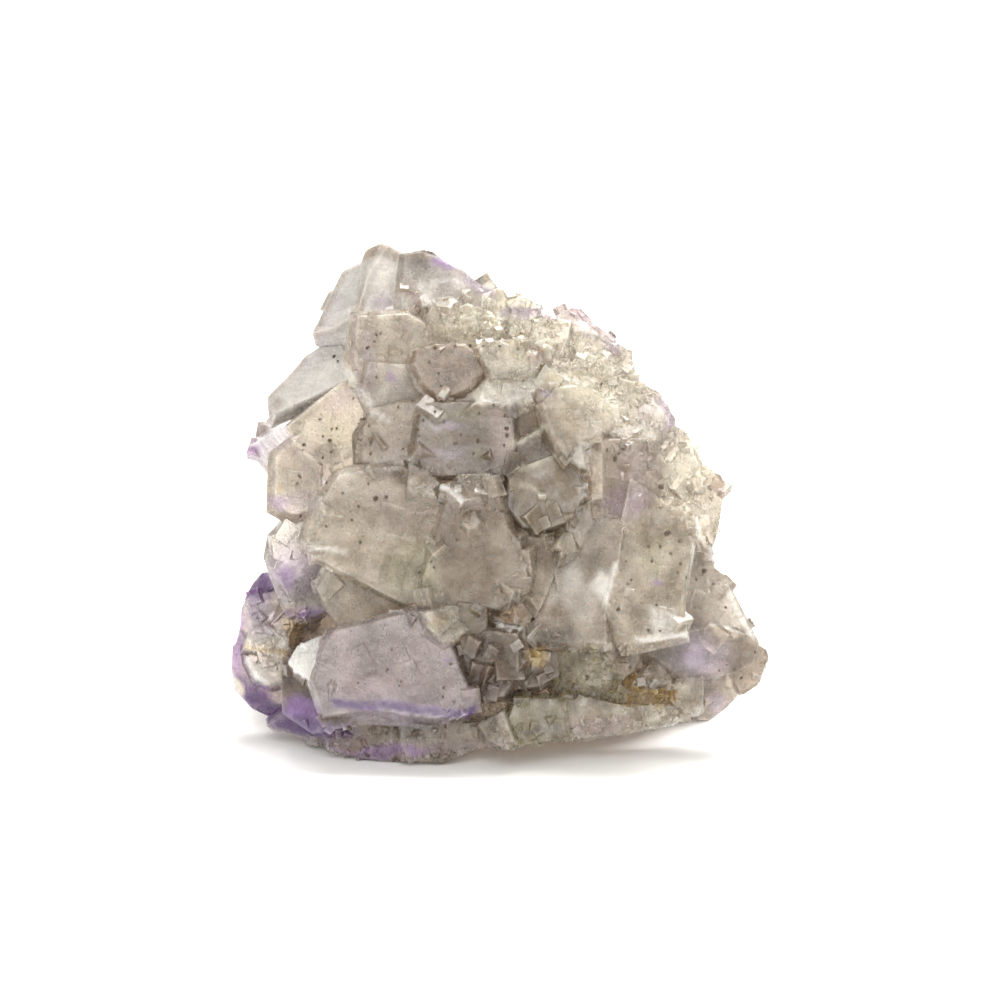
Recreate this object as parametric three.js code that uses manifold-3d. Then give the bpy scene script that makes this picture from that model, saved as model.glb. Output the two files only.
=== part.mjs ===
// Fluorite cluster: intergrown cubes of fluorite, one solid that stands on its own flat underside.
// Units are millimetres, +Z is up, and the cluster is looked at from -Y.
import * as THREE from "three";
import { mergeVertices } from "three/addons/utils/BufferGeometryUtils.js";
import Module from "manifold-3d";

// Driving dimensions of the rounded front: half its width, the height of its middle, how far it curves
// above and below that, and the depth at its rim and of its bulge.
const CLUSTER_HALF_WIDTH = 40;
const CLUSTER_MID_HEIGHT = 31;
const CROWN_REACH = 40;
const SKIRT_REACH = 70;
const BULGE_BASE = 4;
const BULGE_DEPTH = 24;
const VIEW_TILT_DEG = 15;
const TABLE_CUT_SIZE = 200;

// The outline seen from the front: its limits at the table, how far each side leans in per millimetre
// of height, and the shoulder where the right side turns into the long slope.
const LEFT_AT_TABLE = -38.5;
const LEFT_LEAN = 0.25;
const RIGHT_AT_TABLE = 38;
const RIGHT_LEAN = 0.18;
const SHOULDER_HEIGHT = 33;
const SLOPE_LEAN = 1.1;

// How far the heart reaches forward and back, and how its two faces draw in towards the top.
const FOOT_REACH = 12;
const FOOT_SPREAD = 0.8;
const FRONT_REACH = 20;
const FRONT_LEAN = 0.5;
const FRONT_LEAN_START = 30;
const BACK_REACH = 18;
const BACK_LEAN = 0.2;
const BACK_LEAN_START = 20;

// The heart under the crystals: how far it stays inside the outline, its height, and its facets.
const HEART_INSET = 6;
const HEART_HEIGHT = 60;
const HEART_SIDES = 20;
const HEART_RINGS = 6;

// Cubes at the back: the share of a cube that is sunk in the heart, how far behind the middle they
// begin, how much their sizes differ, the turn from one cube to the next, the angle by which the
// lower rows come forward round the sides and up to what height, a cube's proportions, and how much of
// its turn goes to each axis.
const SUNK_SHARE = 0.4;
const BACK_SHIFT = 4;
const SIZE_SPREAD = 0.3;
const GOLDEN_TURN = 2.4;
const SIDE_WRAP = 0.35;
const WRAP_HEIGHT = 42;
const CUBE_SHAPE = [1, 0.92, 1.06];
const TUMBLE = [1.7, 1.3, 1];

const COLOURS = { crystal: 0xb3a89d };

// The front is laid out as it is seen from a little above: u to the right, v up, depth towards the eye.
const tilt = THREE.MathUtils.degToRad(VIEW_TILT_DEG);
const RIGHT = new THREE.Vector3(1, 0, 0);
const UP = new THREE.Vector3(0, Math.sin(tilt), Math.cos(tilt));
const TOWARDS = new THREE.Vector3(0, -Math.cos(tilt), Math.sin(tilt));
const FRONT = new THREE.Matrix4().makeBasis(RIGHT, UP, TOWARDS);

// Depth of the cluster's rounded front at a place, so that a crystal only states how far it stands out.
function bulge(u, v) {
  const reach = v > CLUSTER_MID_HEIGHT ? CROWN_REACH : SKIRT_REACH;
  const across = u / CLUSTER_HALF_WIDTH;
  const along = (v - CLUSTER_MID_HEIGHT) / reach;
  const left = Math.max(0, 1 - across * across - along * along);
  return BULGE_BASE + BULGE_DEPTH * Math.sqrt(left);
}

const wasm = await Module();
wasm.setup();

function solid(geometry) {
  geometry.deleteAttribute("normal");
  geometry.deleteAttribute("uv");
  const merged = mergeVertices(geometry);
  return new wasm.Manifold(
    new wasm.Mesh({
      numProp: 3,
      vertProperties: merged.attributes.position.array,
      triVerts: new Uint32Array(merged.index.array),
    }),
  );
}

// The way a face is turned: yaw turns it to the right, pitch tips it up.
function faceFrame(yaw, pitch) {
  const rad = THREE.MathUtils.degToRad;
  return new THREE.Matrix4().makeRotationFromEuler(new THREE.Euler(-rad(pitch), rad(yaw), 0, "YXZ"));
}

// A crystal that shows one face: its outline as seen, the place and depth of one point of the face,
// how the face is turned, and how deep the crystal reaches into the cluster.
function block({ outline, face, out, yaw, pitch, reach }) {
  const [pivotU, pivotV] = face;
  const frame = faceFrame(yaw, pitch);
  const across = new THREE.Vector3();
  const upward = new THREE.Vector3();
  const outward = new THREE.Vector3();
  frame.extractBasis(across, upward, outward);
  const pivot = new THREE.Vector3(pivotU, pivotV, bulge(pivotU, pivotV) + out);
  const shape = new THREE.Shape(
    outline.map(([u, v]) => {
      const onPlane = outward.x * (u - pivotU) + outward.y * (v - pivotV);
      const arm = new THREE.Vector3(u - pivotU, v - pivotV, -onPlane / outward.z);
      return new THREE.Vector2(arm.dot(across), arm.dot(upward));
    }),
  );
  const geometry = new THREE.ExtrudeGeometry(shape, { depth: reach, bevelEnabled: false });
  geometry.translate(0, 0, -reach);
  geometry.applyMatrix4(frame);
  geometry.translate(pivot.x, pivot.y, pivot.z);
  return solid(geometry.applyMatrix4(FRONT));
}

// A cube that shows one corner: the corner's place, and for its three edges the heading in degrees and
// the length, both as seen. Square corners leave only one way in which such a cube can be turned.
function corner([u, v, out], ...edges) {
  const seen = edges.map(([heading]) => {
    const angle = THREE.MathUtils.degToRad(heading);
    return new THREE.Vector2(Math.cos(angle), Math.sin(angle));
  });
  const arms = edges.map(([, length], i) => {
    const [a, b, c] = [seen[i], seen[(i + 1) % 3], seen[(i + 2) % 3]];
    const slope = Math.sqrt((-a.dot(b) * a.dot(c)) / b.dot(c));
    return new THREE.Vector3(a.x * length, a.y * length, -slope * length);
  });
  const geometry = new THREE.BoxGeometry(1, 1, 1).translate(0.5, 0.5, 0.5);
  const turn = new THREE.Matrix4().makeBasis(arms[0], arms[1], arms[2]);
  geometry.applyMatrix4(turn);
  geometry.translate(u, v, bulge(u, v) + out);
  return solid(geometry.applyMatrix4(FRONT));
}

// Upper left: two clear crystals behind, and the grey-beige crystal in front of them.
function upperLeft() {
  return [
    // Clear crystal at the top left, the left face of its ridge.
    block({
      outline: [
        [-27.5, 55.8], [-25, 61.2], [-22.7, 66], [-19, 68.3], [-18.6, 65.5], [-20.1, 60.5],
        [-21, 58.4], [-24, 56.7],
      ],
      face: [-20.1, 60.5], out: 0, yaw: -38, pitch: 22, reach: 10,
    }),
    // The same crystal, the right face of its ridge.
    block({
      outline: [
        [-19.1, 68.3], [-17, 69.3], [-15, 68.2], [-13.4, 67.3], [-12, 57], [-21, 58.2],
        [-20.3, 60.5], [-18.8, 65.5],
      ],
      face: [-20.1, 60.5], out: 0, yaw: 16, pitch: 5, reach: 10,
    }),
    // The same crystal, its lower face.
    block({
      outline: [
        [-27.5, 55.8], [-24, 56.7], [-21, 58.5], [-20, 56], [-21, 51.5], [-23.8, 52],
        [-25.2, 53.2], [-27, 54],
      ],
      face: [-21, 58.4], out: 0, yaw: -14, pitch: -32, reach: 9,
    }),
    // Translucent crystal at the left edge.
    block({
      outline: [
        [-26.5, 53.8], [-28.5, 52.5], [-31, 49.6], [-34.2, 46.4], [-34.4, 45.1], [-33.6, 43.6],
        [-22, 49], [-23, 54],
      ],
      face: [-29, 49], out: -3, yaw: -20, pitch: 25, reach: 9,
    }),
    // Grey-beige crystal, its upper step.
    block({
      outline: [
        [-20.4, 57.9], [-13.2, 58.3], [-9.5, 56], [-9, 50], [-13, 48], [-20.3, 48.2],
        [-21.3, 51.5],
      ],
      face: [-15, 53], out: 2.2, yaw: 7, pitch: 2, reach: 12,
    }),
    // The same crystal, its lower step.
    block({
      outline: [[-21.2, 51.4], [-10, 50.6], [-9.5, 45.5], [-13, 42.5], [-18.2, 44], [-20.3, 48.2]],
      face: [-15, 48], out: 1.2, yaw: 7, pitch: -4, reach: 12,
    }),
    // Thin wedge against the crown.
    block({
      outline: [[-13.4, 58.3], [-11.4, 60.9], [-10.7, 58.6], [-10.8, 55.5], [-13.4, 55.5]],
      face: [-12, 58], out: 1, yaw: -18, pitch: 8, reach: 7,
    }),
  ];
}

// Left side: the large cube with its tip, the speckled cube below it, the purple one under that
// and the mid-left plate with the block in its shadow.
function leftSide() {
  return [
    // Large cube with the tip, by the corner nearest the eye.
    corner([-31.2, 41.8, 2], [40, 15.5], [308, 12], [202, 7.1]),
    // Speckled cube below the large one.
    block({
      outline: [
        [-32.4, 37.6], [-29.8, 39.8], [-26, 36.2], [-26, 30.6], [-27.5, 29.2], [-30, 29.2],
        [-32.5, 30.5],
      ],
      face: [-29, 34], out: 2, yaw: 13, pitch: 8, reach: 10,
    }),
    // Purple-tinted cube under that.
    block({
      outline: [
        [-33.1, 26.1], [-30.5, 27.4], [-28, 28.6], [-24, 24], [-24.5, 16], [-26.5, 14.3],
        [-29.2, 14.4], [-31.2, 18.5], [-32.7, 22.5],
      ],
      face: [-29, 21], out: 1.5, yaw: 14, pitch: 0, reach: 8,
    }),
    // Wide plate left of the middle.
    block({
      outline: [
        [-28.1, 25.4], [-26.4, 30], [-23, 35], [-14, 36.2], [-8.8, 33.4], [-7.6, 30.5],
        [-10.9, 16.3], [-14, 16.4], [-22.5, 20.9], [-27, 23.4],
      ],
      face: [-18, 27], out: 2.5, yaw: -2, pitch: -3, reach: 12,
    }),
    // Block in the shadow of the plate.
    block({
      outline: [
        [-26.3, 18.3], [-24.5, 21.5], [-13, 17], [-14.2, 14.5], [-17.2, 10.6], [-19.8, 10],
        [-22, 11.5], [-24.5, 14.8],
      ],
      face: [-20, 16], out: 0.5, yaw: -6, pitch: -12, reach: 10,
    }),
    // Hollow between the large cube and the centre.
    block({
      outline: [
        [-18.5, 44.5], [-13, 45.5], [-10.3, 45.2], [-10.3, 36.8], [-13, 35.5], [-20.4, 37],
        [-20.3, 41], [-19, 42.5],
      ],
      face: [-15, 41], out: 1, yaw: -4, pitch: 4, reach: 10,
    }),
  ];
}

// Crown: the lilac crystal with the curved cleavage and the small crystals under it.
function crown() {
  return [
    // Lilac crystal with the curved cleavage.
    block({
      outline: [
        [-13.6, 67.2], [-11, 67.6], [-8.8, 66.6], [-5, 64.8], [-3.7, 63.4], [-0.8, 61], [-3, 57],
        [-13.5, 57], [-14.3, 61],
      ],
      face: [-8, 62], out: 0, yaw: 6, pitch: 12, reach: 10,
    }),
    // Its rounded cap.
    block({
      outline: [
        [-13.6, 67.3], [-12.4, 68], [-11, 68.2], [-9.7, 67.9], [-8.6, 67], [-7.7, 65.7],
        [-9, 64.6], [-13, 65],
      ],
      face: [-11, 66.5], out: 0.6, yaw: -4, pitch: 25, reach: 8,
    }),
    // The lower half of the cap.
    block({
      outline: [[-8, 65.5], [-6.8, 65.8], [-5.8, 65.2], [-4.3, 64.6], [-3.9, 63.2], [-7, 63]],
      face: [-6, 64.6], out: 0.4, yaw: 16, pitch: 30, reach: 7,
    }),
    // Upright sliver in front of it.
    block({
      outline: [
        [-10.6, 58], [-9.7, 59.2], [-8.3, 60.1], [-7.2, 59.6], [-6.7, 58], [-7, 53.5], [-10.4, 54],
      ],
      face: [-8.6, 57], out: 2.4, yaw: -22, pitch: 6, reach: 8,
    }),
    // Cream crystal beside the sliver.
    block({
      outline: [[-7.4, 58.4], [-4.5, 60], [-1, 58.7], [0.6, 56], [-1, 53.5], [-7.2, 53.5]],
      face: [-3.6, 57], out: 1.8, yaw: 4, pitch: 30, reach: 8,
    }),
    // Brown-lilac crystal.
    block({
      outline: [
        [-11.6, 52.8], [-9, 53.8], [-5, 53.6], [-2.6, 52.2], [-0.6, 49.4], [-3, 48], [-8.2, 45.8],
        [-11, 48.5], [-12.2, 51],
      ],
      face: [-7, 50], out: 3.4, yaw: 4, pitch: 10, reach: 10,
    }),
    // Pink-beige shelf above the centre.
    block({
      outline: [
        [-9.4, 46.2], [-2.5, 48.8], [0, 49.7], [5, 50.4], [7.2, 51.6], [6.8, 48.5], [3.7, 46.3],
        [2.1, 45.4], [-8, 45.4],
      ],
      face: [-1, 47.4], out: 3.6, yaw: 0, pitch: 38, reach: 8,
    }),
    // Steep small crystal on the shelf.
    block({
      outline: [
        [-2.6, 52.2], [-0.6, 49.4], [3, 49.2], [4.6, 50.2], [4.6, 53], [4, 54.5], [-1.5, 54.2],
        [-2.8, 53.3],
      ],
      face: [1, 52], out: 4.2, yaw: 5, pitch: 14, reach: 8,
    }),
    // Brown-pink point beside it.
    block({
      outline: [
        [4.4, 52.8], [3.8, 54.4], [6, 54.4], [7.4, 53.4], [7.2, 52.2], [6, 50.8], [4.9, 49.9],
      ],
      face: [5.6, 52.4], out: 4.2, yaw: 18, pitch: 20, reach: 6,
    }),
  ];
}

// Right slope: clear crystals along the rim, above the bank that the fine crust covers.
function rightSlope() {
  return [
    // Bank that the fine crust covers.
    block({
      outline: [
        [-3, 60], [6, 59], [13, 56], [19, 50], [24.4, 43.5], [22.5, 40], [16.5, 40.5], [10, 47],
        [7, 49], [3, 53], [-2, 54],
      ],
      face: [10, 52], out: -0.5, yaw: 16, pitch: 34, reach: 12,
    }),
    // Rim crystal next to the crown.
    block({
      outline: [[-1.5, 61.6], [-0.2, 62.3], [1, 62], [2.4, 61.2], [2.4, 57.5], [-2.4, 57.5]],
      face: [0, 60], out: 0.6, yaw: 0, pitch: 20, reach: 8,
    }),
    // Second rim crystal.
    block({
      outline: [[2, 60.6], [2.9, 60.9], [4, 60.9], [5.2, 60.2], [6.2, 59], [5.5, 56], [2, 56]],
      face: [4, 59], out: 1, yaw: 12, pitch: 20, reach: 8,
    }),
    // Third rim crystal, low.
    block({
      outline: [[5.2, 59.6], [7, 58.6], [8.6, 57.8], [10.6, 57.4], [10, 54], [5, 54]],
      face: [8, 57], out: 1.2, yaw: 10, pitch: 28, reach: 8,
    }),
    // Clear round-topped rim crystal.
    block({
      outline: [
        [8.2, 57.8], [9.3, 58.8], [10.8, 59.4], [12, 59.2], [13.4, 58], [14.2, 56.8], [13.5, 54],
        [9, 54.5],
      ],
      face: [11.4, 57.5], out: 0, yaw: 14, pitch: 14, reach: 8,
    }),
    // Broad rim crystal below it.
    block({
      outline: [[12, 57.2], [14.4, 56.8], [17, 54.8], [17.6, 53.8], [16, 51], [12, 51.5]],
      face: [14.6, 54.6], out: 1.4, yaw: 24, pitch: 18, reach: 9,
    }),
    // Clear rim crystal, upright.
    block({
      outline: [
        [16, 54], [17.4, 54.2], [18.4, 53.4], [19.8, 51.2], [20.3, 49.3], [17, 48], [15, 51],
      ],
      face: [17.8, 51.6], out: 1.6, yaw: 30, pitch: 16, reach: 9,
    }),
    // Small step in the rim.
    block({
      outline: [
        [18.6, 49.2], [20.4, 49], [21.4, 48.6], [22.8, 47.4], [23.1, 46.2], [20.5, 44.5], [18, 47],
      ],
      face: [21, 47.2], out: 1.8, yaw: 26, pitch: 22, reach: 8,
    }),
    // Clear point in the rim.
    block({
      outline: [
        [21.6, 46.6], [23.9, 45.9], [25, 44.4], [25.8, 43.2], [25.9, 42], [23, 41], [20.6, 44],
      ],
      face: [23.6, 44], out: 1.6, yaw: 28, pitch: 18, reach: 8,
    }),
    // Outer crystal at the shoulder.
    block({
      outline: [
        [22.4, 40.4], [25.8, 42.1], [27.6, 41], [28.2, 39.8], [29, 38], [31, 35.6], [30, 32.6],
        [26, 32.6], [24.2, 36], [23.4, 38.5],
      ],
      face: [27, 37], out: 2.2, yaw: 20, pitch: 12, reach: 10,
    }),
    // Small tooth at the shoulder.
    block({
      outline: [
        [30.2, 35.8], [32.4, 35], [33, 33.8], [33.2, 32.7], [32.7, 31.2], [30.2, 31], [29, 34],
      ],
      face: [31.6, 33.4], out: 2.6, yaw: 26, pitch: 6, reach: 8,
    }),
    // Outer crystal below the shoulder.
    block({
      outline: [[24.3, 33], [30, 33.2], [32.8, 31.4], [32, 27], [31.2, 24.4], [28, 25], [24, 30.5]],
      face: [28, 29.5], out: 2.4, yaw: 22, pitch: 2, reach: 10,
    }),
    // Chip under the crust.
    block({
      outline: [[5, 47.2], [6.2, 48.6], [8.2, 48.6], [7.4, 46.8], [6.1, 45.2], [5.2, 45.8]],
      face: [6.6, 47], out: 3, yaw: -6, pitch: 10, reach: 6,
    }),
    // Pale six-sided crystal.
    block({
      outline: [
        [6.3, 45.3], [8.2, 47.5], [11, 48], [14.3, 47], [16.2, 43.3], [16, 41.9], [14.7, 40.9],
        [11.6, 40], [9.9, 37.4], [7.6, 41],
      ],
      face: [11, 43], out: 4.2, yaw: 6, pitch: 18, reach: 10,
    }),
    // Sliver beside it.
    block({
      outline: [[9.8, 37.6], [12, 40.4], [12.4, 36.6], [11.6, 36.4]],
      face: [11.4, 38.4], out: 3.6, yaw: 0, pitch: 10, reach: 6,
    }),
  ];
}

// Centre: the square-on cube, the dark clear one beside it and the block below them.
function centre() {
  return [
    // Square-on cube in the middle.
    block({
      outline: [[-11, 45.3], [2.1, 45.4], [2.3, 35.2], [-0.5, 34.8], [-10, 34.8], [-12, 38]],
      face: [-4.5, 40], out: 2.6, yaw: 0, pitch: 1, reach: 12,
    }),
    // White chip at its lower left corner.
    block({
      outline: [[-10, 35], [-13, 37], [-13, 32.8], [-9.3, 32]],
      face: [-11.4, 35], out: 3.2, yaw: -10, pitch: 20, reach: 5,
    }),
    // Dark clear crystal, its upper facet.
    block({
      outline: [[2.1, 45.2], [3.7, 46.3], [4.9, 46], [6.3, 43.4], [7, 41.8], [2.4, 39.2]],
      face: [4.5, 43], out: 0.8, yaw: 8, pitch: -4, reach: 9,
    }),
    // The same crystal, its middle facet.
    block({
      outline: [[2.3, 39.4], [6.9, 42], [9.9, 37.5], [8.3, 36.4], [2.2, 34.4]],
      face: [5.5, 38.6], out: 1.2, yaw: 4, pitch: 0, reach: 9,
    }),
    // Dark block below them.
    block({
      outline: [
        [1.6, 35.4], [8.3, 38], [11.4, 37.2], [11.5, 34.4], [12.3, 32.2], [11.4, 30.4],
        [9.8, 28.2], [6.5, 27], [3.6, 27.4], [1.4, 30.4],
      ],
      face: [7, 32.5], out: 1.6, yaw: 6, pitch: 6, reach: 9,
    }),
    // Bright step under the square-on cube.
    block({
      outline: [[-5.4, 31.2], [-8, 32.8], [-5, 35], [-0.5, 35.2], [-0.6, 33.6], [-3, 31.6]],
      face: [-4, 33.6], out: 4.2, yaw: -6, pitch: 30, reach: 6,
    }),
    // Brownish plate in the middle.
    block({
      outline: [
        [-7.4, 31.4], [-3, 33.6], [-0.5, 33.8], [1.2, 27.2], [3, 25.3], [4.6, 18.2], [0, 15.9],
        [-10.8, 16.1], [-10.8, 20], [-9, 25.5],
      ],
      face: [-3.5, 24], out: 3.6, yaw: -4, pitch: -4, reach: 12,
    }),
    // Small chip on the plate.
    block({
      outline: [[-5.2, 28], [-4.8, 29.8], [-3.5, 30], [-2.8, 28.4], [-3.3, 27.4], [-4.4, 27.2]],
      face: [-4, 28.6], out: 4.8, yaw: -10, pitch: 16, reach: 4,
    }),
    // Narrow crystal beside the plate.
    block({
      outline: [
        [2.8, 26.3], [8.2, 25.5], [9.6, 23.7], [8.5, 21.4], [5.8, 15.2], [4.2, 17.5], [2.8, 22],
      ],
      face: [6, 22], out: 2.2, yaw: 12, pitch: 0, reach: 9,
    }),
    // Small chip above the narrow crystal.
    block({
      outline: [[8.4, 25.4], [9.4, 26.6], [10.6, 26.6], [11.2, 24.4], [9, 23.4]],
      face: [9.8, 25.2], out: 3.4, yaw: 5, pitch: 20, reach: 5,
    }),
    // Wedge under the dark block.
    block({
      outline: [[10.4, 30.2], [13, 30.8], [15.4, 29.6], [11.6, 24], [9.6, 26.4]],
      face: [12, 27.8], out: 2, yaw: 0, pitch: 14, reach: 7,
    }),
  ];
}

// Right side: the lilac cube with its upright edge, the tall tent below it and the outer crystals.
function rightSide() {
  return [
    // Lilac cube that faces right.
    block({
      outline: [
        [14.9, 39.9], [21.6, 40.2], [23.2, 38], [24.3, 36], [24.2, 33], [23.6, 30.4], [19, 28],
        [14.9, 29.4],
      ],
      face: [17, 35], out: 4.4, yaw: 17, pitch: 2, reach: 9.5,
    }),
    // Tall tent, its right face.
    block({
      outline: [
        [19, 34.6], [25, 30.2], [28.3, 27], [26.3, 17], [27.2, 12.1], [20, 10.6], [14.8, 10.8],
        [15.2, 16.5], [16.8, 22], [17.8, 28.5],
      ],
      face: [17, 22], out: 6.4, yaw: 6, pitch: 10, reach: 12,
    }),
    // The same tent, its left face.
    block({
      outline: [
        [19, 34.6], [15, 29.2], [11, 24.7], [8.6, 22.6], [7, 18.5], [5.6, 14.5], [4.4, 11.5],
        [8, 10.8], [15.4, 10.8], [15.4, 16.5], [17.2, 22],
      ],
      face: [17, 22], out: 6.4, yaw: -22, pitch: 9, reach: 12,
    }),
    // Outer crystal with the bright rim.
    block({
      outline: [
        [28.2, 27.2], [30.6, 23.5], [31.6, 21.3], [33, 20.2], [35.3, 15.9], [36.6, 13.2],
        [38, 10.6], [36, 11.6], [31, 13], [27, 12.2], [26.1, 17.3],
      ],
      face: [28.5, 19], out: 5, yaw: 24, pitch: 8, reach: 11,
    }),
    // Small tooth above it.
    block({
      outline: [[31, 24.2], [32, 22.9], [33.3, 22.4], [32.9, 20.2], [31, 19.6]],
      face: [32, 22], out: 1.5, yaw: 20, pitch: 8, reach: 5,
    }),
    // Broad low crystal with the purple core.
    block({
      outline: [
        [19.6, 10.8], [27, 12.2], [31, 13], [36, 11.7], [38, 10.4], [37, 7.6], [34, 6], [30, 5.2],
        [26.5, 4.8], [24, 6.4], [21, 8],
      ],
      face: [30, 12.5], out: 7, yaw: 10, pitch: -14, reach: 11,
    }),
    // Low crystal at the far right.
    block({
      outline: [
        [36, 11], [39.2, 9.4], [39.9, 7.4], [38.6, 4.6], [36, 2.9], [33, 2.4], [30, 3],
        [29.8, 5.4], [34, 7],
      ],
      face: [36, 7], out: 9, yaw: 16, pitch: -12, reach: 10,
    }),
    // Lilac foot crystal.
    block({
      outline: [
        [29.8, 5.6], [29.4, 1], [30.4, -0.1], [31.6, -0.1], [33.2, 0.9], [34.8, 2.7], [33.4, 5.8],
      ],
      face: [31.8, 2.6], out: 7, yaw: 14, pitch: -8, reach: 10,
    }),
    // Filling beside the foot crystal.
    block({
      outline: [[26.2, 5.4], [29.8, 5.6], [29.6, 1], [28.8, 0.6], [27, 0.2], [26, 2]],
      face: [28, 3], out: 5.8, yaw: 4, pitch: -6, reach: 9,
    }),
  ];
}

// Lower left: the group of small pale crystals and the low cube with the purple band.
function lowerLeft() {
  return [
    // Purple crystal at the top of the small group.
    block({
      outline: [[-37.6, 16.5], [-36.3, 18.8], [-34.8, 20.6], [-33.2, 20.8], [-32, 18], [-33.5, 15]],
      face: [-35, 18.4], out: -1, yaw: -14, pitch: 14, reach: 7,
    }),
    // Purple-rimmed crystal under it.
    block({
      outline: [
        [-38.1, 11], [-37.8, 15.6], [-36.4, 17.2], [-32.5, 18], [-30.4, 13], [-31, 9.4],
        [-36, 9.6],
      ],
      face: [-34.5, 14], out: 0.6, yaw: -8, pitch: 8, reach: 9,
    }),
    // Brow of the eye-shaped crystal.
    block({
      outline: [
        [-37.2, 9.7], [-36.8, 11.6], [-35.5, 12.9], [-33.2, 12.4], [-31.3, 10.8], [-30.9, 9.2],
        [-33, 8.5],
      ],
      face: [-34.4, 10.7], out: 2.2, yaw: -6, pitch: 16, reach: 6,
    }),
    // Front of the eye-shaped crystal.
    block({
      outline: [
        [-39.1, 9.9], [-37.2, 10.3], [-31.9, 8.6], [-31.6, 1.5], [-33.3, -0.5], [-36.4, 0.5],
        [-38.7, 3.5], [-39.3, 6.5],
      ],
      face: [-35, 5], out: 2, yaw: -6, pitch: -6, reach: 9,
    }),
    // Its raised lip.
    block({
      outline: [[-36.9, 8.4], [-32, 8.6], [-31.8, 4.6], [-33.5, 4.3], [-35.3, 5.2], [-36.5, 7.1]],
      face: [-34.4, 6.8], out: 3, yaw: 4, pitch: 6, reach: 5,
    }),
    // Rounded crystal at the left edge.
    block({
      outline: [
        [-40.1, 6], [-39.8, 7.6], [-38.9, 9.4], [-36, 9], [-35.5, 2], [-36.8, 0.6], [-38.4, 1.2],
        [-39.6, 2.8],
      ],
      face: [-38, 5], out: 0, yaw: -20, pitch: 0, reach: 7,
    }),
    // Bright three-sided facet.
    block({
      outline: [
        [-30.5, 7.9], [-29.2, 10.1], [-25.2, 12], [-23.7, 12.5], [-24.6, 10.6], [-26, 6], [-27, 5],
      ],
      face: [-26.5, 9], out: 4.2, yaw: -18, pitch: 26, reach: 7,
    }),
    // Low cube, its front face.
    block({
      outline: [
        [-26.7, 5.3], [-25, 11], [-23.6, 12.4], [-14, 14.8], [-12.3, 15.4], [-9.8, 15],
        [-7.5, 11.5], [-3.6, 2.4], [-5.2, 0.3], [-11, 0], [-18, 1.2], [-25, 0.2],
      ],
      face: [-16, 7], out: 6.4, yaw: -4, pitch: 5, reach: 12,
    }),
    // The same cube, its shadowed left face.
    block({
      outline: [
        [-31.7, 8.9], [-30.4, 8], [-26.6, 5.4], [-24.6, 0.2], [-25.2, -2.2], [-27.2, -2.6],
        [-31.6, 0.2],
      ],
      face: [-26, 3], out: 5.4, yaw: -40, pitch: 0, reach: 10,
    }),
    // The same cube, the underside with the purple band.
    block({
      outline: [
        [-25.2, 1.2], [-18, 1.8], [-4.2, 1.4], [-5.5, -1.2], [-10, -1.6], [-19, -1.2], [-24.8, -2],
      ],
      face: [-15, 0.2], out: 6, yaw: 0, pitch: -30, reach: 8,
    }),
    // Peach-coloured chip above the cube.
    block({
      outline: [[-10.3, 15.1], [-7, 16], [-5.7, 16], [-5.4, 12], [-7.5, 11], [-9.2, 12.6]],
      face: [-7.6, 13.6], out: 5.6, yaw: 12, pitch: 10, reach: 6,
    }),
    // Dark olive window.
    block({
      outline: [[-5.9, 16.6], [-1.7, 16.3], [-1.7, 12.2], [-2, 9.8], [-5.2, 9.8], [-5.6, 12.4]],
      face: [-3.6, 13.4], out: 3.8, yaw: 4, pitch: 0, reach: 7,
    }),
  ];
}

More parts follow.
